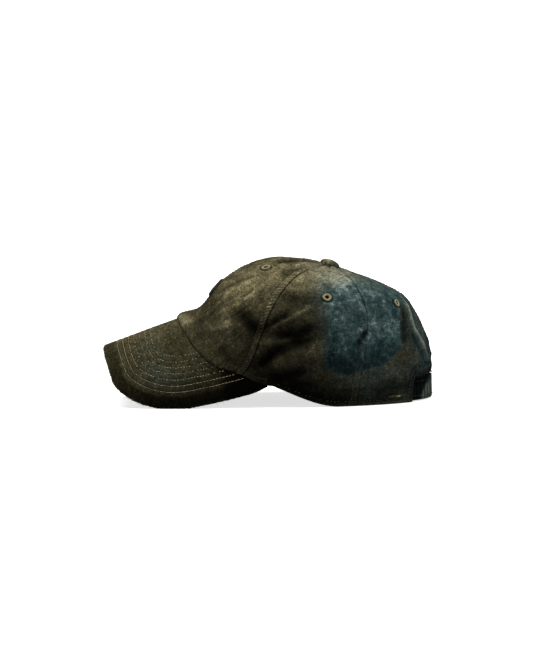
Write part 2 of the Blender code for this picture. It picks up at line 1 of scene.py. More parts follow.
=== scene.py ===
"""Looks of a washed and worn canvas baseball cap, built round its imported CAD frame.

Shapes are worked out in millimetres and scaled to metres when a mesh is made. +Z is up and the visor points
to -Y. phi runs round the crown from the front (0) over the wearer's left (90) to the back (180), and is
negative on the wearer's right. s runs up a crown line from the hem (0) to the top (1).
"""

import math

import bpy
import numpy as np
from mathutils import Matrix, Vector
from mathutils.kdtree import KDTree


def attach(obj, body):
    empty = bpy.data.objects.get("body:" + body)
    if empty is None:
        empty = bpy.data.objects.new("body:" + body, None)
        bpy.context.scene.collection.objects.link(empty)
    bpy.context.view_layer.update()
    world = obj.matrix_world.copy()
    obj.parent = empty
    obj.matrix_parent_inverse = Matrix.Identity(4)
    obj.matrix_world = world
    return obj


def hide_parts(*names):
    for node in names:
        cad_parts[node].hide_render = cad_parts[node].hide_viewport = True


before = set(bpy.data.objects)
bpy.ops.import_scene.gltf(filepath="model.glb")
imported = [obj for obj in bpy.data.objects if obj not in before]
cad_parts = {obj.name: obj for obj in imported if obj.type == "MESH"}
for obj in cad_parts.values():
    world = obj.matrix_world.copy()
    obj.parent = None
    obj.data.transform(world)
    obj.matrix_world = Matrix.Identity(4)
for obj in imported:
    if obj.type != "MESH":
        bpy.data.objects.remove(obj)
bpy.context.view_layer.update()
RNG = np.random.default_rng(7)

# ---- the shape, as the CAD source has it, in millimetres ----

CENTRE_Y, HALF_WIDTH = 29.25, 76.0
FRONT_LENGTH, BACK_LENGTH = 102.0, 106.0
FRONT_SQUARENESS, BACK_SQUARENESS = 2.3, 2.1  # superellipse exponents, 2 being an ellipse
PINCH_PHI, PINCH_SPREAD, PINCH = 61.0, 9.0, 0.03
TOP_Y, TOP_Z, TOP_TILT = 51.75, 110.0, math.radians(20)
ROOT_Y, ROOT_Z, SLOPE = -72.75, 70.0, math.radians(19.4)
ARCH_DROP, ARCH_HALF_WIDTH, ARCH_POWER = 75.5, 75.0, 2.2
VISOR_END_PHI, VISOR_TIP_PHI = 78.0, 75.5
VISOR_OUTLINE = [(0.0, 68.0), (15.8, 68.8), (40.5, 69.5), (49.1, 68.8), (57.5, 61.7), (64.7, 47.6),
                 (69.8, 27.3), (72.3, 0.0), (73.9, -30.4), (74.2, -49.0)]
HEM_LANDING_Y, HEM_LANDING_SLOPE = 59.05, -0.42
ARCH_EDGE = [(147.0, 0.0), (147.3, 0.05), (148.0, 0.105), (150.5, 0.148), (156.0, 0.169), (162.5, 0.174),
             (166.5, 0.187), (169.5, 0.213), (172.5, 0.250), (176.0, 0.287), (180.0, 0.305)]
ARCH_PHI, ARCH_TOP_S = ARCH_EDGE[0][0], ARCH_EDGE[-1][1]
ARCH_FLARE, ARCH_SAG = 2.4, 6.0
TAPE_DEPTH, TAPE_HALF_WIDTH, TAPE = 1.7, 5.5, 0.6
COVER, UNDER_DEPTH = 0.8, 3.6  # a visor cover's thickness, and the under cover's depth below the visor's top
PANEL_THICKNESS = 1.0
STRAP_CENTRE, STRAP_RADIUS, STRAP_THICKNESS = (-5.0, 71.25), 64.15, 1.4
STRAP_LOW, STRAP_HIGH, STRAP_ENDS = 2.5, 18.5, (-54.0, 55.0)
BUCKLE_ANGLE, BAR_X, BAR_Y, BAR_RADIUS = -21.0, -8.2, -4.3, 0.8
EYELETS = {"front": (42.5, 0.648), "side": (99.5, 0.60), "back": (150.5, 0.545)}
# of each eyelet's satin ring: its radius across and upward, its cord's radius, and its lean in degrees
EYELET_RINGS = {"front": (2.1, 3.1, 0.85, 0), "side": (2.75, 2.75, 1.0, 0), "back": (1.75, 2.9, 0.75, 28)}
BUTTON_RADIUS = 8.4
TUCK_SLOT = (-123.0, 0.078)
FRONT_LINE = [(1, 0), (0.975, 0.08), (0.93, 0.128), (0.88, 0.175), (0.835, 0.29), (0.80, 0.43), (0.765, 0.6),
              (0.655, 0.885), (0.5, 1.12), (0.335, 1.2), (0.2, 1.17), (0.1, 1.12), (0, 1)]
SIDE_LINE = [(1, 0), (1.04, 0.22), (0.99, 0.48), (0.84, 0.72), (0.6, 0.9), (0.3, 0.99), (0, 1)]
BACK_LINE = [(1, 0), (1, 0.18), (0.994, 0.364), (0.932, 0.512), (0.813, 0.695), (0.693, 0.794),
             (0.455, 0.887), (0.2, 0.952), (0, 1)]
LINE_LENGTH = 122.0  # a crown line's rough length, from hem to top
MM_PER_DEGREE = 1.25  # roughly, along the hem
PANEL_TOP_S = 0.972
SHARP_ANGLE = math.radians(55)

# ---- the cloth: tones are 0 to 1 from dark to light, and distances are in millimetres ----

CLOTH_TONE, CLOTH_DUST, VISOR_TONE = 0.675, 0.10, 0.70
RIGHT_STRENGTH = 0.7  # how strong a fold's shading is on the wearer's right
SEAM_ROWS = (1.5, 5.2)  # the stitch rows' distances from a seam
PUCKER_STEP = 2.7
HEM_ROW = 3.2


def smooth_line(points, steps=14):
    """A Catmull-Rom curve through the points."""
    p = np.array(points, float)
    p = np.vstack([2 * p[0] - p[1], p, 2 * p[-1] - p[-2]])
    t = np.linspace(0, 1, steps, endpoint=False)[:, None]
    spans = [
        0.5 * (2 * b + (c - a) * t + (2 * a - 5 * b + 4 * c - d) * t**2 + (3 * b - a - 3 * c + d) * t**3)
        for a, b, c, d in zip(p, p[1:], p[2:], p[3:])
    ]
    return np.vstack([*spans, p[-2]])


def by_length(points, scale=(1, 1)):
    """A function from 0..1 along the curve's length to points on it."""
    curve = smooth_line(points)
    steps = np.linalg.norm(np.diff(curve, axis=0) * np.array(scale), axis=1)
    along = np.r_[0, np.cumsum(steps)] / steps.sum()
    return lambda share: np.stack([np.interp(share, along, curve[:, k]) for k in (0, 1)], -1)


front_line = by_length(FRONT_LINE, (TOP_Y - ROOT_Y, TOP_Z - ROOT_Z))
side_line = by_length(SIDE_LINE, (HALF_WIDTH, TOP_Z))
back_line = by_length(BACK_LINE, (CENTRE_Y + BACK_LENGTH - TOP_Y, TOP_Z))
visor_outline = by_length(VISOR_OUTLINE)


def smooth(t):
    t = np.clip(t, 0, 1)
    return t * t * (3 - 2 * t)


def bell(distance, width):
    return np.exp(-((distance / width) ** 2))


def unit(v):
    return v / np.maximum(np.linalg.norm(v, axis=-1, keepdims=True), 1e-12)


def visor_drop(x):
    return ARCH_DROP * (np.abs(x) / ARCH_HALF_WIDTH) ** ARCH_POWER


def hem_plan(phi):
    a = np.radians(phi)
    front = phi < 90
    power = 2 / np.where(front, FRONT_SQUARENESS, BACK_SQUARENESS)
    x = HALF_WIDTH * np.maximum(np.sin(a), 0) ** power * (1 - PINCH * bell(phi - PINCH_PHI, PINCH_SPREAD))
    length = np.where(front, FRONT_LENGTH, BACK_LENGTH)
    return x, CENTRE_Y - np.copysign(length * np.abs(np.cos(a)) ** power, np.cos(a))


def visor_top_z(x, y):
    return ROOT_Z + math.tan(SLOPE) * (y - ROOT_Y) - visor_drop(x) / math.cos(SLOPE)


def hem_z(phi):
    x, y = hem_plan(np.minimum(phi, VISOR_END_PHI))
    height, run = visor_top_z(x, y), HEM_LANDING_Y - y
    t = np.clip((hem_plan(phi)[1] - y) / run, 0, 1)
    return height * (2 * t**3 - 3 * t**2 + 1) + HEM_LANDING_SLOPE * run * (t**3 - 2 * t**2 + t)


def crown(phi, s):
    """Points on the crown's smooth outer face."""
    phi, s = np.broadcast_arrays(np.asarray(phi, float), np.asarray(s, float))
    phi = (phi + 180) % 360 - 180
    angle = np.abs(phi)
    end = (np.cos(np.radians(angle)) ** 2)[..., None]
    line = np.where((angle < 90)[..., None], front_line(s), back_line(s)) * end + side_line(s) * (1 - end)
    x, y = hem_plan(angle)
    low = hem_z(angle)
    radius = line[..., 0]
    flare = ARCH_FLARE * smooth((angle - 150) / 9) * bell(s - 0.19, 0.06)
    return np.stack([np.copysign(radius * x, phi), TOP_Y + radius * (y - TOP_Y) + flare,
                     low + line[..., 1] * (TOP_Z - low)], -1)


def crown_normal(phi, s, step=0.006):
    phi, s = np.broadcast_arrays(np.asarray(phi, float), np.asarray(s, float))
    up = crown(phi, np.minimum(s + step, 0.999)) - crown(phi, np.maximum(s - step, 0))
    across = crown(phi + 1.2, s) - crown(phi - 1.2, s)
    return unit(np.cross(across, up))


def mm_per_degree(phi, s):
    return np.maximum(np.linalg.norm(crown(phi + 0.5, s) - crown(phi - 0.5, s), axis=-1), 0.01)


def seam_side_front(s):
    return 62.5 + 13 * (1 - np.exp(-5 * np.asarray(s, float)))


def seam_side_back(s):
    return 113 + 9.5 * smooth(np.asarray(s, float) / 0.6)


def seam_middle(s):
    return 0.0 * np.asarray(s, float)


def seam_back(s):
    return 180.0 + 0.0 * np.asarray(s, float)


def arch_line(steps):
    """The edge of the back opening as phi and s, from the wearer's left hem over the top to the right hem."""
    edge = smooth_line(ARCH_EDGE, steps)
    return np.vstack([edge, (edge * (-1, 1) + (360, 0))[-2::-1]])


def beside_arch(distance, steps=12, lowest=0.0):
    """A line that keeps a distance in millimetres outside the back opening's edge, as phi and s."""
    line = arch_line(steps)
    line = line[line[:, 1] >= lowest]
    phi, s = line.T
    edge, normal = crown(phi, s), crown_normal(phi, s)
    outward = unit(np.cross(normal, np.gradient(edge, axis=0)))
    outward *= np.sign(outward[len(outward) // 2, 2])
    across = crown(phi + 0.5, s) - crown(phi - 0.5, s)
    step = 0.005
    up = crown(phi, s + step) - crown(phi, np.maximum(s - step, 0))
    up /= (np.minimum(s, step) + step)[:, None]
    return (phi + distance * (outward * across).sum(1) / (across**2).sum(1),
            np.maximum(s + distance * (outward * up).sum(1) / (up**2).sum(1), 0.004))


VISOR_AHEAD = np.array([0, -math.cos(SLOPE), -math.sin(SLOPE)])
VISOR_UP = np.array([0, -math.sin(SLOPE), math.cos(SLOPE)])


def visor_normal(x):
    lean = np.copysign(ARCH_POWER * visor_drop(x) / np.maximum(np.abs(x), 1e-6), x)
    return unit(VISOR_UP + lean[..., None] * np.array([1.0, 0, 0]))


def visor_point(x, forward, depth=0.0):
    x, forward, depth = np.broadcast_arrays(*(np.asarray(a, float) for a in (x, forward, depth)))
    middle = np.stack([x, np.full(x.shape, ROOT_Y), np.full(x.shape, ROOT_Z)], -1)
    return (middle + VISOR_AHEAD * forward[..., None] - VISOR_UP * visor_drop(x)[..., None]
            - visor_normal(x) * depth[..., None])


def visor_inner(share, inset, depth):
    """x and forward of the visor's inner edge, from its middle (0) to its tip (1)."""
    x, y = hem_plan(np.maximum(1e-3, share * VISOR_TIP_PHI))
    outward = unit(np.stack([x, y - CENTRE_Y], -1))
    lean = (visor_normal(x)[..., :2] * outward).sum(-1)
    place = np.stack([x, y], -1) - (inset - depth * lean)[..., None] * outward
    forward = (ROOT_Y + visor_drop(place[..., 0]) * math.sin(SLOPE) - place[..., 1]) / math.cos(SLOPE)
    return np.stack([place[..., 0], forward], -1)


# ---- numpy tools: noise, distances, meshes ----

GRADIENTS = unit(np.array([corner for corner in np.ndindex(3, 3, 3) if corner != (1, 1, 1)], float) - 1)
SCATTER = (73856093, 19349663, 83492791, 1274126177)  # large odd numbers that shuffle the gradients


def noise(p, size, seed=0):
    """Gradient noise from about -1 to 1 at points in millimetres; size is the width of its lumps."""
    q = np.asarray(p, float) / size + 100.0 + 17.3 * seed
    cell = np.floor(q).astype(np.int64)
    f = q - cell
    blend = f * f * f * (f * (f * 6 - 15) + 10)
    total = 0.0
    for corner in np.ndindex(2, 2, 2):
        x, y, z = np.moveaxis(cell + corner, -1, 0)
        h = (x * SCATTER[0]) ^ (y * SCATTER[1]) ^ (z * SCATTER[2])
        h = ((h ^ (h >> 13)) * SCATTER[3]) & 0xFFFFFFFF
        slope = GRADIENTS[((h ^ (h >> 15)) >> 3) % len(GRADIENTS)]
        weight = np.where(corner, blend, 1 - blend).prod(-1)
        total = total + weight * (slope * (f - corner)).sum(-1)
    return total * 1.5


def fractal(p, size, octaves=3, seed=0):
    return sum(noise(p, size / 2**k, seed + k) / 2**k for k in range(octaves)) / (2 - 2.0 ** (1 - octaves))


def crumple(p, size, seed=0):
    """Sharp little ridges, from 0 to 1."""
    return 1 - np.minimum(1, np.abs(noise(p, size, seed)) * 2.2)


def lengths_along(line):
    """The length along a line up to each of its points."""
    return np.r_[0, np.cumsum(np.linalg.norm(np.diff(line, axis=0), axis=1))]


def read_off(where, lengths, values):
    """Values, one row for each point of a line, at chosen lengths along it."""
    return np.stack([np.interp(where, lengths, column) for column in values.T], -1)


def near_line(points, normals, line, reach):
    """Each point's distance from a line, its signed side of it and its place along it (0 to 1).

    Points further off than three times reach are given a distance of four times reach.
    """
    flat, across = points.reshape(-1, 3), normals.reshape(-1, 3)
    distance = np.full(len(flat), reach * 4.0)
    side, along = np.zeros((2, len(flat)))
    low, high = line.min(0) - reach * 3, line.max(0) + reach * 3
    chosen = np.flatnonzero(((flat > low) & (flat < high)).all(1))
    p, n = flat[chosen], across[chosen]
    best = np.full(len(p), 1e9)
    best_side, best_along = np.zeros((2, len(p)))
    lengths = lengths_along(line)
    for k, (a, b) in enumerate(zip(line, line[1:])):
        d = b - a
        t = np.clip(((p - a) @ d) / (d @ d), 0, 1)
        offset = p - (a + t[:, None] * d)
        r = np.linalg.norm(offset, axis=1)
        closer = r < best
        best = np.where(closer, r, best)
        best_side = np.where(closer, np.sign((np.cross(n, d) * offset).sum(1)), best_side)
        here = lengths[k] + t * (lengths[k + 1] - lengths[k])
        best_along = np.where(closer, here / lengths[-1], best_along)
    distance[chosen], side[chosen], along[chosen] = best, best_side, best_along
    return (values.reshape(points.shape[:-1]) for values in (distance, distance * side, along))


def above_table(points, lowest):
    """The points, with none lower than a height in millimetres."""
    points[..., 2] = np.maximum(points[..., 2], lowest)
    return points


def grid_quads(rows, columns, closed=False):
    i, j = np.meshgrid(np.arange(rows - 1), np.arange(columns if closed else columns - 1), indexing="ij")
    k = (j + 1) % columns
    corners = [i * columns + j, i * columns + k, (i + 1) * columns + k, (i + 1) * columns + j]
    return np.stack(corners, -1).reshape(-1, 4)


def make_piece(name, points, faces, paint, slot, body="crown", replaces=(), **fields):
    """A mesh object from points in millimetres, riding on a body, with an attribute for each field."""
    mesh = bpy.data.meshes.new(name)
    mesh.from_pydata((np.asarray(points, float) * 0.001).tolist(), [], [list(map(int, f)) for f in faces])
    mesh.shade_smooth()
    mesh.set_sharp_from_angle(angle=SHARP_ANGLE)
    for key, values in fields.items():
        values = np.asarray(values, np.float32)
        kind, part = ("FLOAT_VECTOR", "vector") if values.ndim == 2 else ("FLOAT", "value")
        mesh.attributes.new(key, kind, "POINT").data.foreach_set(part, values.ravel())
    obj = bpy.data.objects.new(name, mesh)
    bpy.context.scene.collection.objects.link(obj)
    mesh.materials.append(paint)
    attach(obj, body)
    if replaces:
        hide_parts(*replaces)


def thick(top, bottom, quads):
    """A closed sheet from its faces' points and its upper face's quads: points, faces, points kept."""
    n = len(top)
    used = np.zeros(n, bool)
    used[quads.ravel()] = True
    edges = np.concatenate([quads[:, [a, (a + 1) % 4]] for a in range(4)])
    code, back = edges[:, 0] * n + edges[:, 1], edges[:, 1] * n + edges[:, 0]
    start, end = edges[~np.isin(code, back)].T
    faces = np.vstack([quads, quads[:, ::-1] + n, np.stack([end, start, start + n, end + n], -1)])
    keep = np.r_[used, used]
    renumber = np.cumsum(keep) - 1
    return np.vstack([top, bottom])[keep], renumber[faces], keep


def circle_steps(count):
    return np.arange(count) * 2 * np.pi / count


class Threads:
    """Gathers many small stitches or fibres into one mesh."""

    def __init__(self):
        self.points, self.faces, self.tones, self.count = [], [], [], 0

    def keep(self, tubes):
        """Takes tubes, as an array of (tube, section, corner, xyz), and closes their ends."""
        n, sections, ring = tubes.shape[:3]
        step = sections * ring
        base = self.count + np.arange(n)[:, None, None] * step
        caps = np.array([np.arange(ring)[::-1], np.arange(step - ring, step)])
        for faces in (grid_quads(sections, ring, closed=True), caps):
            self.faces.extend((faces[None] + base).reshape(-1, faces.shape[1]).tolist())
        self.points.append(tubes.reshape(-1, 3))
        self.tones.append(np.repeat(RNG.uniform(0, 1, n), step))
        self.count += n * step

    def add(self, centres, forward, out, half_lengths, radii, lift):
        """Capsules that arch over the cloth: their ends dip by lift."""
        forward, out = unit(forward), unit(out)
        sideways = np.cross(out, forward)
        t = np.array([-1, -0.76, 0, 0.76, 1])
        swell = np.where(np.abs(t) > 0.99, 0.25, 1.0)
        turn = circle_steps(6)
        axis = (centres[:, None] + forward[:, None] * (t * half_lengths[:, None])[..., None]
                + out[:, None] * (lift[:, None] * (0.5 - t**2))[..., None])
        radius = radii[:, None] * swell
        circle = (sideways[:, None, None] * np.cos(turn)[None, None, :, None]
                  + out[:, None, None] * np.sin(turn)[None, None, :, None])
        self.keep(axis[:, :, None] + circle * radius[..., None, None])

    def row(self, points, normals, length=2.1, gap=0.6, radius=0.19, lift=0.22, skip=0.0, wander=0.08,
            raise_by=0.02):
        """Stitches along a line on the cloth."""
        lengths = lengths_along(points)
        total = lengths[-1]
        count = int(total / (length + gap))
        starts = (np.arange(count) + 0.5) * total / count + RNG.uniform(-0.12, 0.12, count)
        starts = starts[RNG.uniform(0, 1, count) >= skip]
        half = 0.5 * length * RNG.uniform(0.82, 1.06, len(starts))
        a, b = read_off(starts - half, lengths, points), read_off(starts + half, lengths, points)
        out = unit(read_off(starts, lengths, normals))
        side = np.cross(out, unit(b - a))
        centre = (a + b) / 2 + side * RNG.normal(0, wander, len(starts))[:, None] + out * raise_by
        self.add(centre, b - a, out, np.linalg.norm(b - a, axis=1) / 2,
                 radius * RNG.uniform(0.85, 1.12, len(starts)), np.full(len(starts), lift))

    def fibres(self, roots, directions, lengths, radius, droop):
        """Loose thread ends: bent tapered tubes."""
        t = np.array([0, 0.35, 0.7, 1.0])
        directions = unit(directions)
        bend = unit(RNG.normal(0, 1, roots.shape))
        axis = (roots[:, None] + directions[:, None] * (t * lengths[:, None])[..., None]
                + bend[:, None] * (t**2 * lengths[:, None] * 0.35)[..., None]
                - np.array([0, 0, 1.0]) * (t**2 * lengths[:, None] * droop)[..., None])
        first = unit(np.cross(directions, bend))
        second = np.cross(directions, first)
        turn = circle_steps(4)
        circle = first[:, None] * np.cos(turn)[None, :, None] + second[:, None] * np.sin(turn)[None, :, None]
        taper = radius * np.array([1.0, 0.95, 0.8, 0.35])
        self.keep(axis[:, :, None] + circle[:, None] * taper[None, :, None, None])

    def make(self, name, paint, body="crown", replaces=()):
        make_piece(name, np.vstack(self.points), self.faces, paint, "thread", body, replaces,
                   tone=np.concatenate(self.tones))


# ---- materials ----


class Nodes:
    """Short ways to add shader nodes to one material."""

    def __init__(self, name):
        self.material = bpy.data.materials.new(name)
        self.material.use_nodes = True
        self.tree = self.material.node_tree
        self.tree.nodes.clear()
        self.shader = self.tree.nodes.new("ShaderNodeBsdfPrincipled")
        output = self.tree.nodes.new("ShaderNodeOutputMaterial")
        self.tree.links.new(self.shader.outputs[0], output.inputs[0])
        self.position = self.tree.nodes.new("ShaderNodeTexCoord").outputs["Object"]

    def link(self, value, socket):
        if isinstance(value, bpy.types.NodeSocket):
            self.tree.links.new(value, socket)
        else:
            socket.default_value = value

    def math(self, operation, a, b, clamp=False):
        node = self.tree.nodes.new("ShaderNodeMath")
        node.operation, node.use_clamp = operation, clamp
        self.link(a, node.inputs[0])
        self.link(b, node.inputs[1])
        return node.outputs[0]

    def add(self, a, b):
        return self.math("ADD", a, b)

    def times(self, a, b):
        return self.math("MULTIPLY", a, b)

    def attribute(self, name, output="Fac"):
        node = self.tree.nodes.new("ShaderNodeAttribute")
        node.attribute_name = name
        return node.outputs[output]

    def noise(self, scale, detail=3.0, roughness=0.55, vector=None, stretch=None):
        """Noise from 0 to 1; scale is lumps a metre."""
        node = self.tree.nodes.new("ShaderNodeTexNoise")
        node.inputs["Scale"].default_value = scale
        node.inputs["Detail"].default_value = detail
        node.inputs["Roughness"].default_value = roughness
        source = vector or self.position
        if stretch:
            mapping = self.tree.nodes.new("ShaderNodeMapping")
            mapping.inputs["Scale"].default_value = stretch
            self.tree.links.new(source, mapping.inputs[0])
            source = mapping.outputs[0]
        self.tree.links.new(source, node.inputs["Vector"])
        return node.outputs["Fac"]

    def wave(self, vector, scale, axis, distortion=1.2):
        node = self.tree.nodes.new("ShaderNodeTexWave")
        node.bands_direction = axis
        node.inputs["Scale"].default_value = scale
        node.inputs["Distortion"].default_value = distortion
        node.inputs["Detail"].default_value = 1.0
        node.inputs["Detail Scale"].default_value = 2.0
        self.tree.links.new(vector, node.inputs["Vector"])
        return node.outputs["Fac"]

    def ramp(self, value, stops):
        node = self.tree.nodes.new("ShaderNodeValToRGB")
        elements = node.color_ramp.elements
        while len(elements) < len(stops):
            elements.new(0.5)
        for element, (place, colour) in zip(elements, stops):
            element.position = place
            element.color = (*colour, 1)
        self.link(value, node.inputs[0])
        return node.outputs[0]

    def mix(self, share, a, b):
        node = self.tree.nodes.new("ShaderNodeMix")
        node.data_type = "RGBA"
        self.link(share, node.inputs[0])
        for value, socket in ((a, node.inputs[6]), (b, node.inputs[7])):
            self.link((*value, 1) if isinstance(value, tuple) else value, socket)
        return node.outputs[2]

    def bump(self, height, distance, strength, normal=None):
        node = self.tree.nodes.new("ShaderNodeBump")
        node.inputs["Distance"].default_value = distance
        node.inputs["Strength"].default_value = strength
        self.tree.links.new(height, node.inputs["Height"])
        if normal is not None:
            self.tree.links.new(normal, node.inputs["Normal"])
        return node.outputs[0]

    def finish(self, colour, roughness, normal=None, metallic=0.0, specular=0.5, sheen=0.0):
        inputs = self.shader.inputs
        self.link(colour, inputs["Base Color"])
        self.link(roughness, inputs["Roughness"])
        inputs["Metallic"].default_value = metallic
        inputs["Specular IOR Level"].default_value = specular
        inputs["Sheen Weight"].default_value = sheen
        inputs["Sheen Roughness"].default_value = 0.45
        if normal is not None:
            self.tree.links.new(normal, inputs["Normal"])
        return self.material


TONE_TOP = 1.2  # the tone at a ramp's end


def shades(darkest, lightest, stops=11):
    """A colour ramp on which equal steps of tone multiply the colour equally; lightest is at tone 1."""
    return [(t, tuple(d * (p / d) ** (TONE_TOP * t) for d, p in zip(darkest, lightest)))
            for t in np.linspace(0, 1, stops)]


OLIVE = shades((0.0010, 0.0009, 0.00037), (0.175, 0.150, 0.078))
BLUE = shades((0.0002, 0.0014, 0.0019), (0.104, 0.152, 0.146))
DUST = (0.115, 0.112, 0.09)


def canvas_material():
    """Washed canvas: the mesh carries tone, which holds painted shade and light besides the cloth's own
    colour, blue and dust; the shader adds mottling, yarns and grain.
    """
    n = Nodes("worn_canvas")
    cloth = n.attribute("cloth", "Vector")
    broad = n.noise(95, 4, 0.6)
    fine = n.noise(420, 3, 0.6)
    grain = n.noise(1500, 2, 0.6)
    fleck = n.noise(760, 2, 0.7)
    slubs = n.noise(330, 2, 0.5, cloth, (0.25, 2.6, 1))
    yarns = n.times(n.add(n.wave(cloth, 310, "X"), n.wave(cloth, 290, "Y")), 0.5)
    tone = n.attribute("tone")
    layers = ((broad, 0.20), (fine, 0.42), (fleck, 0.62), (grain, 0.40), (slubs, 0.16), (yarns, 0.10))
    for source, amount in layers:
        tone = n.add(tone, n.times(n.math("SUBTRACT", source, 0.5), amount))
    place = n.math("DIVIDE", tone, TONE_TOP)
    colour = n.mix(n.attribute("blue"), n.ramp(place, OLIVE), n.ramp(place, BLUE))
    dusty = n.times(n.attribute("dust"), n.times(fine, n.add(grain, 0.55)))
    colour = n.mix(n.math("MULTIPLY", dusty, tone, clamp=True), colour, DUST)
    height = n.add(n.times(yarns, 0.7), n.times(grain, 0.8))
    normal = n.bump(height, 0.00016, 0.75, n.bump(n.add(fine, fleck), 0.0005, 0.6))
    return n.finish(colour, n.add(0.86, n.times(grain, 0.12)), normal, specular=0.01)


def thread_material(name, dark, light):
    n = Nodes(name)
    tone = n.add(n.times(n.attribute("tone"), 0.6), n.times(n.noise(900, 2), 0.5))
    colour = n.ramp(tone, [(0.2, dark), (0.85, light)])
    return n.finish(colour, 0.85, n.bump(n.noise(3000, 2), 0.0001, 0.8), specular=0.1, sheen=0.1)


def lining_material(name, dark, light):
    n = Nodes(name)
    twill = n.wave(n.attribute("cloth", "Vector"), 210, "DIAGONAL", 0.6)
    tone = n.add(n.times(n.noise(160, 4, 0.6), 0.8), n.times(twill, 0.25))
    colour = n.ramp(tone, [(0.25, dark), (0.8, light)])
    height = n.add(twill, n.times(n.noise(1800, 2), 0.6))
    return n.finish(colour, 0.9, n.bump(height, 0.00015, 0.7), specular=0.06, sheen=0.05)


def brass_material():
    n = Nodes("aged_brass")
    stops = [(0.3, (0.032, 0.021, 0.010)), (0.52, (0.13, 0.088, 0.038)), (0.75, (0.27, 0.185, 0.082))]
    colour = n.ramp(n.noise(260, 5, 0.65), stops)
    roughness = n.add(0.32, n.times(n.noise(700, 3), 0.3))
    return n.finish(colour, roughness, n.bump(n.noise(1400, 3), 0.00006, 0.6), metallic=1.0)


def grained_material(name, scale, dark, light, smoothest, rougher, depth, stretch=None, **options):
    """A hard surface whose colour, roughness and relief all follow one grain."""
    n = Nodes(name)
    grain = n.noise(scale, 3, 0.6, stretch=stretch)
    colour = n.ramp(grain, [(0.3, dark), (0.8, light)])
    return n.finish(colour, n.add(smoothest, n.times(grain, rougher)), n.bump(grain, depth, 0.5), **options)


canvas = canvas_material()
tan_thread = thread_material("tan_thread", (0.14, 0.12, 0.062), (0.42, 0.365, 0.205))
crown_thread = thread_material("crown_thread", (0.012, 0.011, 0.006), (0.075, 0.066, 0.036))
eyelet_thread = thread_material("eyelet_thread", (0.12, 0.105, 0.055), (0.40, 0.355, 0.205))
sweatband_cloth = lining_material("sweatband_twill", (0.012, 0.011, 0.007), (0.060, 0.053, 0.034))
tape_cloth = lining_material("seam_tape_cloth", (0.010, 0.010, 0.008), (0.042, 0.038, 0.026))
label_cloth = lining_material("label_satin", (0.30, 0.29, 0.26), (0.50, 0.49, 0.44))
patch_cloth = lining_material("patch_embroidery", (0.008, 0.008, 0.006), (0.034, 0.031, 0.022))
brass = brass_material()
steel = grained_material("washer_steel", 900, (0.22, 0.22, 0.21), (0.46, 0.46, 0.44), 0.3, 0.3, 0.00005,
                         stretch=(1, 6, 1), metallic=1.0)
board = grained_material("visor_board_plastic", 1200, (0.50, 0.50, 0.47), (0.66, 0.66, 0.62), 0.45, 0.2,
                         0.00006, specular=0.4)
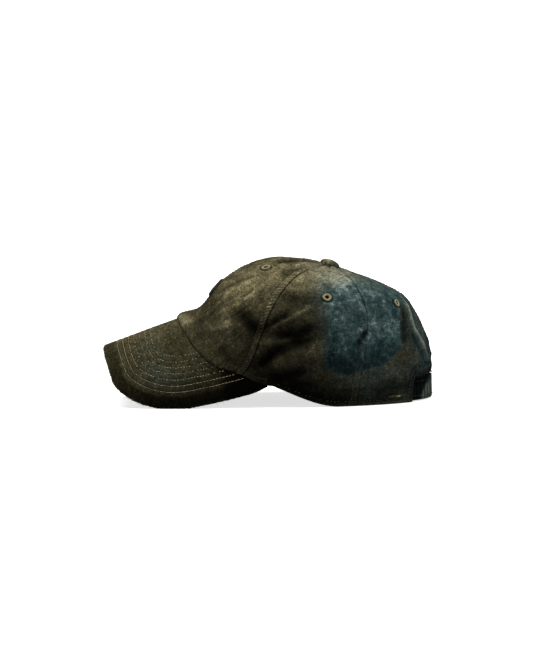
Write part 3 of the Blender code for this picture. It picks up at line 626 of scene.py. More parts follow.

# ---- the cloth of the crown ----

# Folds and creases, each a line of (phi, s) on the wearer's left, then in millimetres its half width and its
# relief (positive stands proud), then how much it lightens (+) or darkens (-) the cloth, as painted highlight
# on ridges and painted shade in creases, partly dirt, and how much pale dust it bares.
FOLDS = [
    (((54, 0.36), (61, 0.352), (67, 0.33), (73, 0.315)), 5.0, -0.9, -0.34, 0.0),
    (((62, 0.55), (64, 0.50), (65.5, 0.455)), 4.2, -0.5, -0.16, 0.0),
    (((4, 0.020), (12, 0.036), (20, 0.050)), 4.0, 0.9, 0.20, 0.35),
    (((16, 0.125), (22, 0.105), (29, 0.092)), 4.5, -0.7, -0.10, 0.0),
    (((28, 0.05), (33, 0.045)), 4.0, -0.3, -0.12, 0.0),
    (((48, 0.125), (54, 0.09), (56, 0.05)), 4.5, -0.5, -0.13, 0.0),
    (((55, 0.30), (46, 0.26), (38, 0.19), (27, 0.12)), 5.5, 0.8, 0.13, 0.22),
    (((34, 0.42), (40, 0.33), (50, 0.22), (58, 0.14)), 5.0, 0.4, 0.08, 0.15),
    (((79, 0.215), (75, 0.16), (72, 0.115)), 4.2, -1.0, -0.34, 0.0),
    (((84, 0.475), (79, 0.42), (76, 0.375), (73, 0.315)), 3.6, -1.1, -0.30, 0.0),
    (((92, 0.55), (88, 0.487), (83, 0.428), (78, 0.365), (75, 0.315)), 2.5, 1.6, 0.25, 0.12),
    (((95, 0.43), (90, 0.385), (85, 0.35), (79, 0.312)), 4.0, -1.6, -0.38, 0.0),
    (((30, 0.19), (38, 0.26), (45, 0.33), (54, 0.427), (59, 0.54), (61, 0.60)), 1.5, 0.7, 0.17, 0.10),
    (((44, 0.25), (49, 0.292), (54, 0.345), (60, 0.43)), 1.3, -0.5, -0.20, 0.0),
    (((20, 0.30), (30, 0.40), (40, 0.50), (47, 0.60)), 2.2, -0.5, -0.12, 0.0),
    (((36, 0.16), (46, 0.23), (55, 0.28)), 1.5, 0.5, 0.12, 0.10),
    (((62, 0.83), (65, 0.77), (68, 0.70)), 3.4, -0.6, -0.20, 0.0),
    (((84, 0.81), (80, 0.74), (78, 0.66)), 2.4, 0.6, 0.06, 0.10),
    (((69, 0.245), (75, 0.268), (81, 0.287), (87, 0.305)), 3.2, 0.9, 0.13, 0.10),
    (((95, 0.372), (90, 0.330), (85, 0.285), (80, 0.225), (76, 0.165), (71, 0.115)), 4.2, -1.7, -0.40, 0.0),
    (((97, 0.275), (91, 0.240), (84, 0.185), (77, 0.125)), 6.0, 1.3, 0.13, 0.05),
    (((93, 0.170), (88, 0.140), (83, 0.090), (77, 0.035)), 3.6, -1.3, -0.28, 0.0),
    (((107, 0.10), (98, 0.085), (90, 0.055)), 4.5, 0.5, 0.06, 0.0),
    (((156, 0.53), (151, 0.46), (146, 0.40), (142, 0.30)), 3.2, -0.9, -0.26, 0.0),
    (((167, 0.57), (161, 0.50), (157, 0.41), (159, 0.33), (163, 0.24)), 2.3, 1.6, 0.40, 0.60),
    (((152, 0.37), (154, 0.30), (158, 0.235)), 3.4, -1.1, -0.22, 0.0),
    (((166, 0.20), (158, 0.135), (151, 0.105), (148, 0.055)), 3.0, -1.6, -0.42, 0.0),
    (((119.5, 0.40), (117, 0.365), (114, 0.325)), 2.3, -0.9, -0.55, 0.0),
    (((126, 0.14), (133, 0.16), (141, 0.13)), 5.0, 0.6, 0.06, 0.10),
    (((122, 0.06), (128, 0.10), (132, 0.125)), 4.0, -0.5, -0.14, 0.0),
    (((40, 0.69), (35, 0.80), (30, 0.90), (24, 0.955)), 3.0, -0.9, -0.26, 0.0),
    (((57, 0.80), (54, 0.87), (50, 0.935)), 2.6, 0.7, 0.12, 0.25),
    (((88, 0.80), (84, 0.88), (80, 0.95)), 2.4, 0.6, 0.10, 0.45),
    (((108, 0.76), (112, 0.85), (118, 0.94)), 2.4, 0.5, 0.08, 0.45),
    (((135, 0.80), (140, 0.87), (148, 0.94)), 2.4, 0.5, 0.06, 0.30),
    (((112, 0.215), (109, 0.15), (107, 0.06)), 4.0, -0.3, -0.08, 0.0),
]
# The outline of the bluish patch painted behind the seam, as y and z seen from the side.
BLUE_PATCH = [(44.5, 87.8), (47.0, 71.1), (48.7, 50.2), (47.0, 41.1), (46.2, 32.8), (54.5, 30.1),
             (63.6, 25.8), (75.2, 29.8), (94.3, 32.8), (102.6, 39.3), (109.3, 46.7), (109.8, 61.7),
             (109.3, 86.7), (106.8, 90.2), (93.5, 95.6), (76.9, 101.0), (60.3, 101.8), (47.8, 97.0)]
# Broad tones, partly the cloth's uneven colour and partly painted shade and painted light: phi, s, reach in
# phi degrees, reach in s, amount.
TONES = [
    (66, 0.335, 8, 0.07, -0.22), (70, 0.20, 7, 0.10, -0.08), (54, 0.14, 12, 0.08, -0.10),
    (93, 0.41, 10, 0.08, -0.16), (85, 0.57, 9, 0.05, -0.24), (90, 0.09, 16, 0.09, -0.29),
    (100, 0.03, 28, 0.05, -0.38), (81, 0.38, 8, 0.08, -0.30), (12, 0.05, 16, 0.08, 0.08),
    (50, 0.50, 22, 0.14, 0.14), (84, 0.75, 26, 0.12, 0.06), (106, 0.80, 20, 0.12, 0.18),
    (91, 0.235, 9, 0.05, -0.22), (148, 0.42, 5, 0.16, -0.07), (156, 0.10, 6, 0.05, -0.20),
    (138, 0.10, 12, 0.06, -0.22), (130, 0.72, 20, 0.05, 0.02), (84, 0.33, 7, 0.04, -0.08),
    (131, 0.046, 2.2, 0.012, -0.40), (124, 0.03, 5, 0.03, -0.12),
]


def inside_blue_patch(y, z):
    """Signed distance into the bluish patch, in millimetres."""
    shape = np.array(BLUE_PATCH)
    inside, nearest = np.zeros(y.shape, bool), np.full(y.shape, 1e9)
    for (ya, za), (yb, zb) in zip(shape, np.roll(shape, -1, axis=0)):
        crosses = (za > z) != (zb > z)
        inside ^= crosses & (y < (yb - ya) * (z - za) / (zb - za + 1e-9) + ya)
        t = np.clip(((y - ya) * (yb - ya) + (z - za) * (zb - za)) / ((yb - ya) ** 2 + (zb - za) ** 2), 0, 1)
        nearest = np.minimum(nearest, np.hypot(y - ya - t * (yb - ya), z - za - t * (zb - za)))
    return np.where(inside, nearest, -nearest)


ARCH_LINE = crown(*arch_line(5).T)


def rolled_under(distance, radius):
    """How far cloth that is rolled under at its edge has dropped, at a distance from that edge."""
    return radius * (1 - np.sqrt(np.clip(1 - (1 - np.minimum(distance / radius, 1)) ** 2, 0, 1)))


# The next functions each give one feature's share of the cloth's relief in millimetres, tone and dust. p is a
# point of the smooth crown, and angle is phi without its sign.


def folds(p, normal, left):
    relief, tone, dust = np.zeros((3, *left.shape))
    widen = 1 + 0.25 * noise(p, 10, 3)
    for line, width, height, shade, pale in FOLDS:
        distance, side, along = near_line(p, normal, crown(*np.array(smooth_line(line, 5)).T), width)
        taper = smooth(along / 0.18) * smooth((1 - along) / 0.18) * 0.75 + 0.25
        wide = width * widen
        shape = bell(distance, wide) * taper
        relief += height * shape
        if height < 0:  # the cloth beside a crease is pushed up, more on its upper side
            rise = 0.30 * np.where(side > 0, 1.0, 0.5) * taper
            relief -= height * rise * bell(distance - 1.9 * wide, 0.7 * wide)
        strength = np.where(left, 1.0, RIGHT_STRENGTH) * shape
        tone += shade * strength
        dust += pale * strength
    return relief, tone, dust


def felled_seam(p, angle, s, seam, band_side, groove, band, ladder):
    """A groove at the join and a puckered double band beside it."""
    away = (angle - seam(s)) * mm_per_degree(angle, s)
    beside = away * band_side
    on_band = smooth(beside / 0.8) * smooth((6.2 - beside) / 1.4)
    pucker = np.sin(2 * np.pi * (s * LINE_LENGTH + 0.45 * beside + 1.3 * noise(p, 9, 5)) / PUCKER_STEP)
    pucker *= smooth(noise(p, 14, 8) * 1.3 + 0.95) * (0.75 + 1.1 * noise(p, 3.5, 26))
    rows = (bell(beside - SEAM_ROWS[0], 0.55) + bell(beside - SEAM_ROWS[1], 0.55)) * on_band
    groove = groove * (1 - smooth((s - 0.76) / 0.10)) * (0.75 + 0.5 * noise(p, 7, 11))
    relief = -0.45 * groove * bell(away, 0.45) + band * on_band * (0.30 + 0.20 * pucker) - 0.20 * band * rows
    relief *= 1.0 - 0.5 * smooth((s - 0.88) / 0.08)
    tone = -0.62 * groove * bell(away, 0.36) + ladder * on_band * (0.25 + pucker)
    tone -= 0.05 * band * bell(beside - 6.6, 0.7)
    return relief, tone, on_band * np.maximum(0, 0.6 * ladder * (1 + pucker))


def crumpling(p, angle, s):
    """Crumples all over, fewer near the hem, which the sweatband holds, and slanting ones in front."""
    x, y, z = np.moveaxis(p, -1, 0)
    free = smooth(s / 0.12) * 0.7 + 0.3
    wear = crumple(p, 15, 2) ** 3
    relief = free * (0.55 * fractal(p, 26, 2, 1) + 0.32 * (wear - 0.2)
                     + 0.16 * (crumple(p, 6.5, 4) ** 2 - 0.3) + 0.09 * noise(p, 2.6, 6))
    tone = 0.07 * fractal(p, 13, 3, 9) + 0.05 * wear + 0.07 * noise(p, 5.0, 10)
    dust = 0.10 * wear + 0.12 * np.maximum(0, fractal(p, 8, 2, 12))
    slant = np.stack([x, 0.82 * y + 0.57 * z, 4.2 * (0.82 * z - 0.57 * y)], -1)
    streak = fractal(slant, 30, 3, 19) * smooth((66 - angle) / 14)
    crease = (crumple(slant, 40, 21) ** 4 + crumple(slant, 19, 22) ** 6) * smooth((70 - angle) / 14)
    return relief + 0.22 * streak + 0.12 * crease, tone + 0.12 * streak + 0.09 * crease, dust


def gathers(p, angle, left):
    """Small pleats that run out from the button, and finer wrinkles among them."""
    away = np.linalg.norm(p - (0, TOP_Y, TOP_Z), axis=-1)
    pleat = np.sin(np.radians(angle) * 13 + 2 * noise(p, 12, 7)) * bell(away - 9, 11)
    wrinkle = fractal(np.stack([0.55 * angle, 0.30 * away, 9.0 * left], -1), 6.0, 3, 24)
    near = bell(np.maximum(away - 14, 0), 20)
    relief = 0.35 * pleat + 0.9 * bell(away - 8.5, 4) + 0.65 * wrinkle * near
    # painted light and shade that follow the pleats and wrinkles, and a painted shadow round the button's
    # foot
    tone = 0.07 * pleat + 0.06 * bell(away - 12, 12) - 0.12 * bell(away - 8.6, 1.6)
    tone += near * (0.16 * wrinkle + 0.14 * (crumple(p, 8, 25) ** 4 - 0.15))
    return relief, tone, (0.30 + 0.25 * pleat) * bell(away - 14, 14)


def eyelet_dents(p, phi):
    """The ring of cloth that each eyelet pulls in."""
    relief, tone = np.zeros((2, *phi.shape))
    for eyelet_phi, eyelet_s in EYELETS.values():
        r = np.linalg.norm(p - crown(np.copysign(eyelet_phi, phi), eyelet_s), axis=-1)
        relief += 0.18 * bell(r - 7.0, 2) - 0.35 * bell(r - 3.6, 1.6)
        # painted shade in the dent close round the ring, and a little painted light on the cloth beyond it
        tone += 0.05 * bell(r - 6.5, 2) - 0.30 * bell(r - 4.1, 0.8)
    return relief, tone, 0.0


def hem_edge(p, angle, s):
    """The hem, rolled under with a stitched groove above it, and rounder where it meets the visor."""
    height = s * LINE_LENGTH
    on_visor = smooth((VISOR_END_PHI + 1 - angle) / 3)
    free = (1 - on_visor) * smooth((ARCH_PHI + 0.5 - angle) / 1.5)
    row = bell(height - HEM_ROW, 0.6) * free
    relief = 0.45 * on_visor * bell(height - 3.5, 2.6) - 0.30 * row + 0.12 * bell(height - 1.6, 0.9) * free
    relief -= rolled_under(height, 0.9 + 0.8 * on_visor) * (angle <= ARCH_PHI)
    # painted shade along the join with the visor
    tone = on_visor * (0.05 * bell(height - 3.2, 2.0) - 0.40 * bell(height, 0.8)) - 0.14 * row
    tone += free * (0.05 * bell(height - 1.2, 0.8) - 0.10 * bell(height - 11, 1.2))
    return relief, tone, 0.25 * on_visor * bell(height - 3.0, 1.8) * smooth(noise(p, 8, 14) * 2 + 0.6)


def opening_edge(distance, angle):
    """The back opening's edge, rolled under, with a stitched band round it."""
    relief = 0.25 * (bell(distance - 3.4, 2.2) - bell(distance - 1.8, 0.5) - bell(distance - 5.2, 0.5))
    relief -= np.where(angle > ARCH_PHI - 1, rolled_under(distance, 0.9), 0)
    tone = 0.06 * bell(distance - 1.0, 1.0) - 0.12 * bell(distance - 7.2, 1.0) - 0.14 * bell(distance, 7.0)
    return relief, tone, 0.0


def blue_patch(p, twin, left):
    """The bluish patch: crisp below and behind, soft in front and above, and only a trace on the wearer's
    right.

    Gives how much of it there is, and its blue, tone and dust.
    """
    x, y, z = np.moveaxis(twin, -1, 0)
    inside = inside_blue_patch(y, z) + 0.8 * noise(twin, 7, 15)
    softness = 0.6 + (3 + 8 * smooth((z - 36) / 30)) * smooth((60 - y) / 13) + 9.0 * smooth((z - 74) / 22)
    mark = smooth(0.5 + inside / (2 * softness)) * np.where(left, 1.0, 0.25) * (x > 0)
    mottle = 0.5 + 0.5 * fractal(p, 16, 3, 16)
    clouds = 0.65 * fractal(p, 12, 3, 17) + 0.5 * fractal(p, 4.5, 2, 27)
    specks = np.maximum(0, noise(p, 3.6, 23)) * np.maximum(0, 0.35 + clouds)
    # rear is a painted highlight along the patch's back edge; low makes the patch darker towards the bottom
    low, rear = smooth((58 - z) / 22), bell(y - 108, 4)
    tone = 0.05 + 0.44 * clouds * (1 - 0.5 * low) + 0.60 * specks + 0.03 * rear - 0.24 * low
    return mark, mark * (0.88 + 0.4 * mottle), mark * tone, mark * (0.10 * mottle + 0.6 * specks)


def cloth(phi, s):
    """The crumpled, worn outer face of the crown: points, normals, tone, blue and dust."""
    phi, s = np.broadcast_arrays(np.asarray(phi, float), np.asarray(s, float))
    phi = (phi + 180) % 360 - 180
    base, normal, angle = crown(phi, s), crown_normal(phi, s), np.abs(phi)
    x, y, z = np.moveaxis(base, -1, 0)
    left = (phi >= 0) | (angle > 179.99)
    # the wearer's right is the left mirrored, and shifted a little so that it isn't a copy
    mirror = np.where(left, 1.0, -1.0)[..., None] ** np.array([1, 0, 0])
    shift = np.stack([0 * s, 3.5 * np.sin(z / 11), 3.0 * np.sin(y / 14)], -1) * ~left[..., None]
    twin = base * mirror + shift
    from_edge = np.where(angle > ARCH_PHI - 9, next(near_line(base, normal, ARCH_LINE, 4.0)), 99.0)

    faint = 0.25 + 1.0 * bell(s - 0.62, 0.16) + 0.3 * bell(s - 0.05, 0.1)
    # each seam's band side, and the strength of its groove, its band and its band's pale rungs
    seams = [(seam_middle, 1, 0.8, 0.9, 0.10), (seam_side_front, -1, 1.1, 1.5, 0.25),
             (seam_side_back, -1, faint, 0.6, 0.06), (seam_back, -1, 0.8, 0.9, 0.08)]
    parts = [felled_seam(base, angle, s, *seam) for seam in seams]
    parts += [folds(twin, normal * mirror, left), crumpling(base, angle, s), gathers(base, angle, left),
              eyelet_dents(base, phi), hem_edge(base, angle, s), opening_edge(from_edge, angle)]
    relief, tone, dust = (sum(values) for values in zip(*parts))

    tone += CLOTH_TONE
    for at_phi, at_s, reach_phi, reach_s, amount in TONES:
        tone += amount * bell(angle - at_phi, reach_phi) * bell(s - at_s, reach_s)
    # painted light and shade: lighter on top, darker low down towards the front and sides
    tone += 0.15 * smooth((z - 80) / 28) - 0.12 * smooth((48 - z) / 34) * smooth((70 - y) / 50)
    tone -= 0.04 * smooth((70 - z) / 16) * smooth((40 - y) / 40)

    mark, blue, mark_tone, mark_dust = blue_patch(base, twin, left)
    # cool greys towards the back, warm ones in front
    cool = (1 - mark) * smooth((y - 20) / 70) * (1 - 0.8 * bell(angle - 141, 9) * bell(s - 0.25, 0.05))
    tone += mark_tone + 0.04 * cool
    cool = cool * (0.70 + 0.45 * smooth((angle - 148) / 8)) * smooth((z + 30) / 60)
    blue = blue + cool * (0.6 + 0.4 * fractal(base, 20, 2, 18))

    # in front the hem bulges out over the visor
    bulge = unit(normal * (1, 1, 0)) * (3.0 * bell(s, 0.055) * smooth((58 - angle) / 26))[..., None]
    fall = visor_top_z(x, y) - visor_top_z(x + bulge[..., 0], y + bulge[..., 1])
    bulge[..., 2] -= fall * bell(s, 0.045)
    # on the wearer's left the cloth hangs over the strap beside the back opening
    hang = left * smooth((angle - 148) / 5) * smooth((177 - angle) / 8)
    bulge[..., 2] -= ARCH_SAG * hang * bell(from_edge, 9.0)
    # painted shade under the hanging edge
    tone -= 0.45 * hang * bell(from_edge, 3.2) * smooth((170 - angle) / 5)
    return {"point": base + normal * relief[..., None] + bulge, "normal": normal, "tone": tone,
            "blue": np.clip(blue, 0, 1), "dust": np.clip(CLOTH_DUST + dust + mark_dust, 0, 1)}


def spread(count, close):
    """Shares from 0 to 1 that crowd towards both ends."""
    t = np.linspace(-1, 1, count)
    return 0.5 + 0.5 * ((1 - close) * t + close * np.sin(t * np.pi / 2))


def lay_flat(*sides):
    """Where the points of a sheet's two faces lie on the flat cloth, from millimetres across and along."""
    across, along = (np.ravel(side) for side in sides)
    lay = np.stack([across, along, 0 * across], -1) * 0.001
    return np.vstack([lay, lay])


PANEL_ROWS = np.r_[0, 0.002, 0.0045, 0.0075, 0.0115, 0.016, 0.021, 0.0265, 0.0335,
                   np.linspace(0.041, PANEL_TOP_S, 112)]
HEM_COLUMNS, ARCH_COLUMNS, PLAIN_COLUMNS = 48, 62, 92


def arched_grid(first):
    """Shares across a back panel, and s, of a grid that follows the hem and then the back opening's edge."""
    edge = smooth_line(ARCH_EDGE, 12)
    lengths = lengths_along(edge * (1.5, LINE_LENGTH))
    edge_phi, edge_s = read_off(np.linspace(0, lengths[-1], ARCH_COLUMNS)[1:], lengths, edge).T
    start = np.r_[np.zeros(HEM_COLUMNS), edge_s]
    u = np.r_[spread(HEM_COLUMNS, 0.55) * (ARCH_PHI - first(0.0)) / (180 - first(0.0)),
              (edge_phi - first(edge_s)) / (180 - first(edge_s))]
    return u, start + PANEL_ROWS[:, None] * (PANEL_TOP_S - start) / PANEL_TOP_S


def make_panel(side, where, first, last):
    sign = 1 if side == "left" else -1
    if where == "back":
        u, s = arched_grid(first)
    else:
        u = spread(PLAIN_COLUMNS, 0.55)
        s = np.repeat(PANEL_ROWS[:, None], len(u), axis=1)
    phi = sign * (first(s) + u * (last(s) - first(s)))
    made = cloth(phi, s)
    point = above_table(made["point"], 0.15)
    bottom = above_table(point - made["normal"] * PANEL_THICKNESS, 0.15)
    quads = grid_quads(*s.shape)[:, ::sign]
    place = crown(phi.ravel(), s.ravel())
    hole_radius = min(EYELET_RINGS[where][:2]) - 0.1
    hole = np.linalg.norm(place - crown(sign * EYELETS[where][0], EYELETS[where][1]), axis=1) < hole_radius
    if (side, where) == ("right", "back"):
        slot = crown(*TUCK_SLOT)
        up = unit(crown(TUCK_SLOT[0], TUCK_SLOT[1] + 0.02) - slot)
        lengthwise = (place - slot) @ up
        from_middle = np.linalg.norm(place - slot - lengthwise[:, None] * up, axis=1)
        hole |= (np.abs(lengthwise) < 5.6) & (from_middle < 0.9)
    quads = quads[~hole[quads].any(1)]
    flat = point.reshape(-1, 3)
    points, faces, keep = thick(flat, bottom.reshape(-1, 3), quads)
    inner_tone = 0.60 + 0.1 * noise(flat, 8, 20)
    plain = np.zeros(len(flat))
    make_piece(f"canvas_{where}_{side}", points, faces, canvas, "canvas", replaces=[f"{where}_panel_{side}"],
               tone=np.r_[made["tone"].ravel(), inner_tone][keep],
               blue=np.r_[made["blue"].ravel(), plain][keep],
               dust=np.r_[made["dust"].ravel(), plain][keep],
               cloth=lay_flat(phi * MM_PER_DEGREE * sign, s * LINE_LENGTH)[keep])


for hand in ("left", "right"):
    make_panel(hand, "front", seam_middle, seam_side_front)
    make_panel(hand, "side", seam_side_front, seam_side_back)
    make_panel(hand, "back", seam_side_back, seam_back)


def crown_row(threads, phi, s, **options):
    made = cloth(phi, s)
    threads.row(above_table(made["point"], 0.4), made["normal"], **options)


def seam_row(seam, sign, distance, s, **options):
    """Stitches beside a seam, on the left (1) or the right (-1)."""
    crown_row(seams, sign * (seam(s) + distance / mm_per_degree(seam(s), s)), s, **options)


seams = Threads()
rows_s = np.linspace(0.012, 0.93, 130)
for sign in (1, -1):
    for seam in (seam_side_front, seam_side_back):
        for distance in SEAM_ROWS:
            seam_row(seam, sign, -distance, rows_s, skip=0.06)
rows_s = np.linspace(0.02, 0.95, 130)
below_patch, above_patch = rows_s[rows_s < 0.232], rows_s[rows_s > 0.385]
for distance in SEAM_ROWS:
    for part in (below_patch, above_patch):
        for sign in (1, -1):
            seam_row(seam_middle, sign, distance, part)
    for sign in (1, -1):
        seam_row(seam_back, sign, -distance, np.linspace(ARCH_TOP_S + 0.01, 0.95, 90))
for distance in (1.8, 5.2):  # round the back opening
    crown_row(seams, *beside_arch(distance, lowest=0.008), length=1.9, gap=0.9, radius=0.2)
seams.make("crown_top_stitching", crown_thread)

hem = Threads()
for sign in (1, -1):
    hem_phi = np.linspace(VISOR_END_PHI + 2, ARCH_PHI - 1.5, 200)
    crown_row(hem, sign * hem_phi, HEM_ROW / LINE_LENGTH, length=2.0, gap=1.0, radius=0.2, lift=0.24,
              skip=0.12)
    hem_phi = np.linspace(2, VISOR_END_PHI - 2, 200)
    crown_row(hem, sign * hem_phi, 5.4 / LINE_LENGTH, gap=0.8, radius=0.18, lift=0.2, skip=0.25)
hem.make("hem_stitching", crown_thread)

# ---- eyelets, tack, tuck slot ----


def onto_crown(phi, s, height):
    """The place of a piece on the worn crown: its directions across, up and outward, and its point."""
    made = cloth(np.array([phi]), np.array([s]))
    normal = made["normal"][0]
    up = unit(crown(phi, s + 0.01) - crown(phi, s - 0.01))
    across = unit(np.cross(up, normal))
    return np.stack([across, np.cross(normal, across), normal]), made["point"][0] + normal * height


def satin_ring(name, replaced, paint, centreline, place, radius, lobes):
    """A ring of satin stitches round a closed line in a plane."""
    axes, origin = place
    steps, ring = len(centreline), 12
    tangent = unit(np.roll(centreline, -1, 0) - np.roll(centreline, 1, 0))
    side = np.stack([tangent[:, 1], -tangent[:, 0]], -1)
    turn = circle_steps(ring)
    share = np.arange(steps) / steps
    rib = np.abs(np.cos(np.pi * lobes * share))
    r = (radius * (0.86 + 0.22 * rib))[:, None]
    planar = centreline[:, None] + side[:, None] * (r * np.cos(turn))[..., None]
    local = np.concatenate([planar, (r * np.sin(turn) * 0.85)[..., None]], -1).reshape(-1, 3)
    faces = grid_quads(steps + 1, ring, closed=True) % (steps * ring)
    lobe_tone = RNG.uniform(-0.15, 0.15, lobes)[(share * lobes).astype(int) % lobes]
    tone = np.repeat(0.35 + 0.45 * rib + lobe_tone, ring)
    make_piece(name, local @ axes + origin, faces[:, ::-1], paint, "thread", replaces=[replaced], tone=tone)


turn = np.linspace(0, 2 * np.pi, 144, endpoint=False)
for where, (phi, s) in EYELETS.items():
    for hand, sign in (("left", 1), ("right", -1)):
        wide, high, cord, lean = EYELET_RINGS[where]
        place = onto_crown(sign * phi, s, 0.35)
        wobble, lean = 1 + 0.02 * np.sin(3 * turn + phi), sign * math.radians(lean)
        x, y = wide * wobble * np.cos(turn), high * wobble * np.sin(turn)
        c, sn = math.cos(lean), math.sin(lean)
        ring = np.stack([x * c + y * sn, y * c - x * sn], -1)
        node = f"eyelet_{where}_{hand}"
        satin_ring(f"satin_{node}", node, eyelet_thread, ring, place, cord, 18)

turn = np.linspace(0, 2 * np.pi, 160, endpoint=False)
straight = np.sign(np.sin(turn)) * 5.5 * (np.abs(np.sin(turn)) > 1e-6)
slot_line = np.stack([1.7 * np.cos(turn), straight + 1.7 * np.sin(turn)], -1)
slot_line = by_length(np.vstack([slot_line, slot_line[:1]]))(np.linspace(0, 1, 200, endpoint=False))
satin_ring("satin_tuck_slot", "tuck_slot_stitching", crown_thread, slot_line, onto_crown(*TUCK_SLOT, 0.2),
           0.85, 40)

tack_at = cloth(np.linspace(129.7, 136.3, 16), 0.041)
point, out = tack_at["point"], tack_at["normal"]
along = unit(np.gradient(point, axis=0))
across = np.cross(out, along)
tack = Threads()
tack.add(point + out * 0.3, across + 0.25 * along, out, np.full(16, 1.0), np.full(16, 0.33), np.full(16, 0.4))
tack.make("bar_tack_stitches", crown_thread, replaces=["strap_bar_tack"])
loose = Threads()  # the end of the tack has worn pale and frayed
end = slice(-5, None)
loose.add(point[end] + out[end] * 0.6, along[end] + 0.4 * across[end], out[end], np.full(5, 0.9),
          np.full(5, 0.36), np.full(5, 0.3))
loose.make("bar_tack_loose_end", tan_thread)

# ---- the visor ----


def arc_across(x):
    """Length of the visor's arch from its middle out to x, which lays the visor flat."""
    table = np.linspace(0, 80, 400)
    lean = ARCH_POWER * visor_drop(table) / np.maximum(table, 1e-6)
    lengths = np.r_[0, np.cumsum(0.5 * (np.hypot(1, lean[1:]) + np.hypot(1, lean[:-1])) * np.diff(table))]
    return np.copysign(np.interp(np.abs(x), table, lengths), x)


def arc_back(width):
    table = np.linspace(0, 80, 400)
    return np.copysign(np.interp(np.abs(width), arc_across(table), table), width)


def nearness(points):
    """A function that gives the distance of flat points from the nearest of some others."""
    tree = KDTree(len(points))
    for k, (a, b) in enumerate(points):
        tree.insert((a, b, 0), k)
    tree.balance()
    return lambda flat: np.array([tree.find((a, b, 0))[2] for a, b in flat])


def rim_outward(reach):
    """The direction out of the visor's outline, as across and forward, at shares of its half length."""
    along = visor_outline(np.minimum(reach + 0.004, 1)) - visor_outline(np.maximum(reach - 0.004, 0))
    along = np.where((reach > 0.01)[:, None], along, np.array([1.0, 0]))
    return unit(np.stack([-along[:, 1], along[:, 0]], -1))


edge_share = np.linspace(-1, 1, 2401)
edge_flat = visor_outline(np.abs(edge_share))
edge_flat[:, 0] = np.copysign(arc_across(edge_flat[:, 0]), edge_share)
edge_distance = nearness(edge_flat)
ROW_DISTANCES = [12.6 + 4.85 * k for k in range(7)]  # of the stitch rows, in from the visor's edge
ROW_SPREAD = 0.15  # the rows lie further apart at the visor's sides
inner_edge = visor_inner(np.linspace(0, 1, 200), 0.0, 0.0)


def from_crown(x, forward):
    return forward - np.interp(np.abs(x), inner_edge[:, 0], inner_edge[:, 1])


def stitch_line(distance):
    """A stitch row that keeps its distance from the visor's edge, as flat points."""
    tangent = unit(np.gradient(edge_flat, axis=0))
    inward = np.stack([tangent[:, 1], -tangent[:, 0]], -1)
    local = distance * (1 + ROW_SPREAD * smooth((np.abs(edge_flat[:, 0]) - 35) / 35))
    moved = edge_flat + inward * local[:, None]
    true = edge_distance(moved) - local + distance
    x = arc_back(moved[:, 0])
    keep = (true > distance - 0.08) & (from_crown(x, moved[:, 1]) > 0.6) & (np.abs(x) < inner_edge[-1, 0])
    line = moved[keep]
    lengths = lengths_along(line)
    line = read_off(np.linspace(0, lengths[-1], int(lengths[-1] / 0.5)), lengths, line)
    window = np.hanning(15)
    window /= window.sum()
    padded = np.vstack([line[:1] + (line[:1] - line[7:0:-1]), line, line[-1:] + (line[-1:] - line[-2:-9:-1])])
    return np.stack([np.convolve(column, window, "valid") for column in padded.T], -1)


STITCH_LINES = [stitch_line(distance) for distance in ROW_DISTANCES]
row_distance = nearness(np.vstack(STITCH_LINES))


def visor_cloth(x, forward, upper=True):
    """Relief in millimetres and paint of the visor's cloth at points of the flat visor."""
    flat = np.stack([arc_across(x), forward], -1).reshape(-1, 2)
    to_edge, to_row = (distance(flat).reshape(x.shape) for distance in (edge_distance, row_distance))
    p = visor_point(x, forward)
    wide = np.abs(x)
    seed = 30 if upper else 40
    quilt = smooth((to_edge - 10) / 4) * smooth((50 - to_edge) / 4)
    relief = -0.34 * bell(to_row, 0.75) + 0.10 * quilt * smooth(to_row / 2.4)
    relief += 0.16 * fractal(p, 20, 2, seed) + 0.07 * noise(p, 4.5, seed + 2) + 0.05 * crumple(p, 7, seed + 3)
    relief += 0.04 * np.sin(2 * np.pi * flat[:, 0].reshape(x.shape) / 3.1) * quilt * bell(to_row, 1.3)

    tone = VISOR_TONE + 0.08 * (fractal(p, 14, 3, seed + 4) + noise(p, 4, seed + 5) - bell(to_row, 0.7))
    place = bell(wide - 48, 22) * bell(forward - 26, 24)
    worn = quilt * place * smooth(fractal(p, 24, 2, seed + 7) * 1.6 + 0.75)
    grey = 0.34 * worn + 0.08 * bell(wide - 8, 14) * smooth((to_edge - 36) / 12)
    edge_wear = bell(to_edge, 1.1)
    dust = 0.04 + 0.10 * quilt * np.maximum(0, noise(p, 10, seed + 6)) + 0.15 * worn
    dust += 0.75 * edge_wear * smooth(noise(p, 5, seed + 8) * 1.5 + 0.55)
    tone += 0.03 * worn + 0.14 * bell(wide, 28) + 0.12 * edge_wear
    tone -= 0.10 * smooth((12 - to_edge) / 3) + 0.03 * smooth((11 - to_edge) / 3)
    # painted shade: darker down the sides, which face away from the light, a painted shadow of the crown
    # across the tips, and painted shade under the crown
    tone -= 0.28 * smooth((wide - 48) / 26) + 0.14 * smooth((12 - to_edge) / 4) * smooth((wide - 30) / 25)
    tone -= 0.34 * smooth((-12 - forward) / 8) * smooth((wide - 60) / 8)
    inward = from_crown(x, forward)
    tone -= 0.30 * bell(inward, 1.6) + 0.24 * bell(inward, 9) * smooth((wide - 50) / 16)
    return relief, tone, np.clip(grey, 0, 1), np.clip(dust, 0, 1)


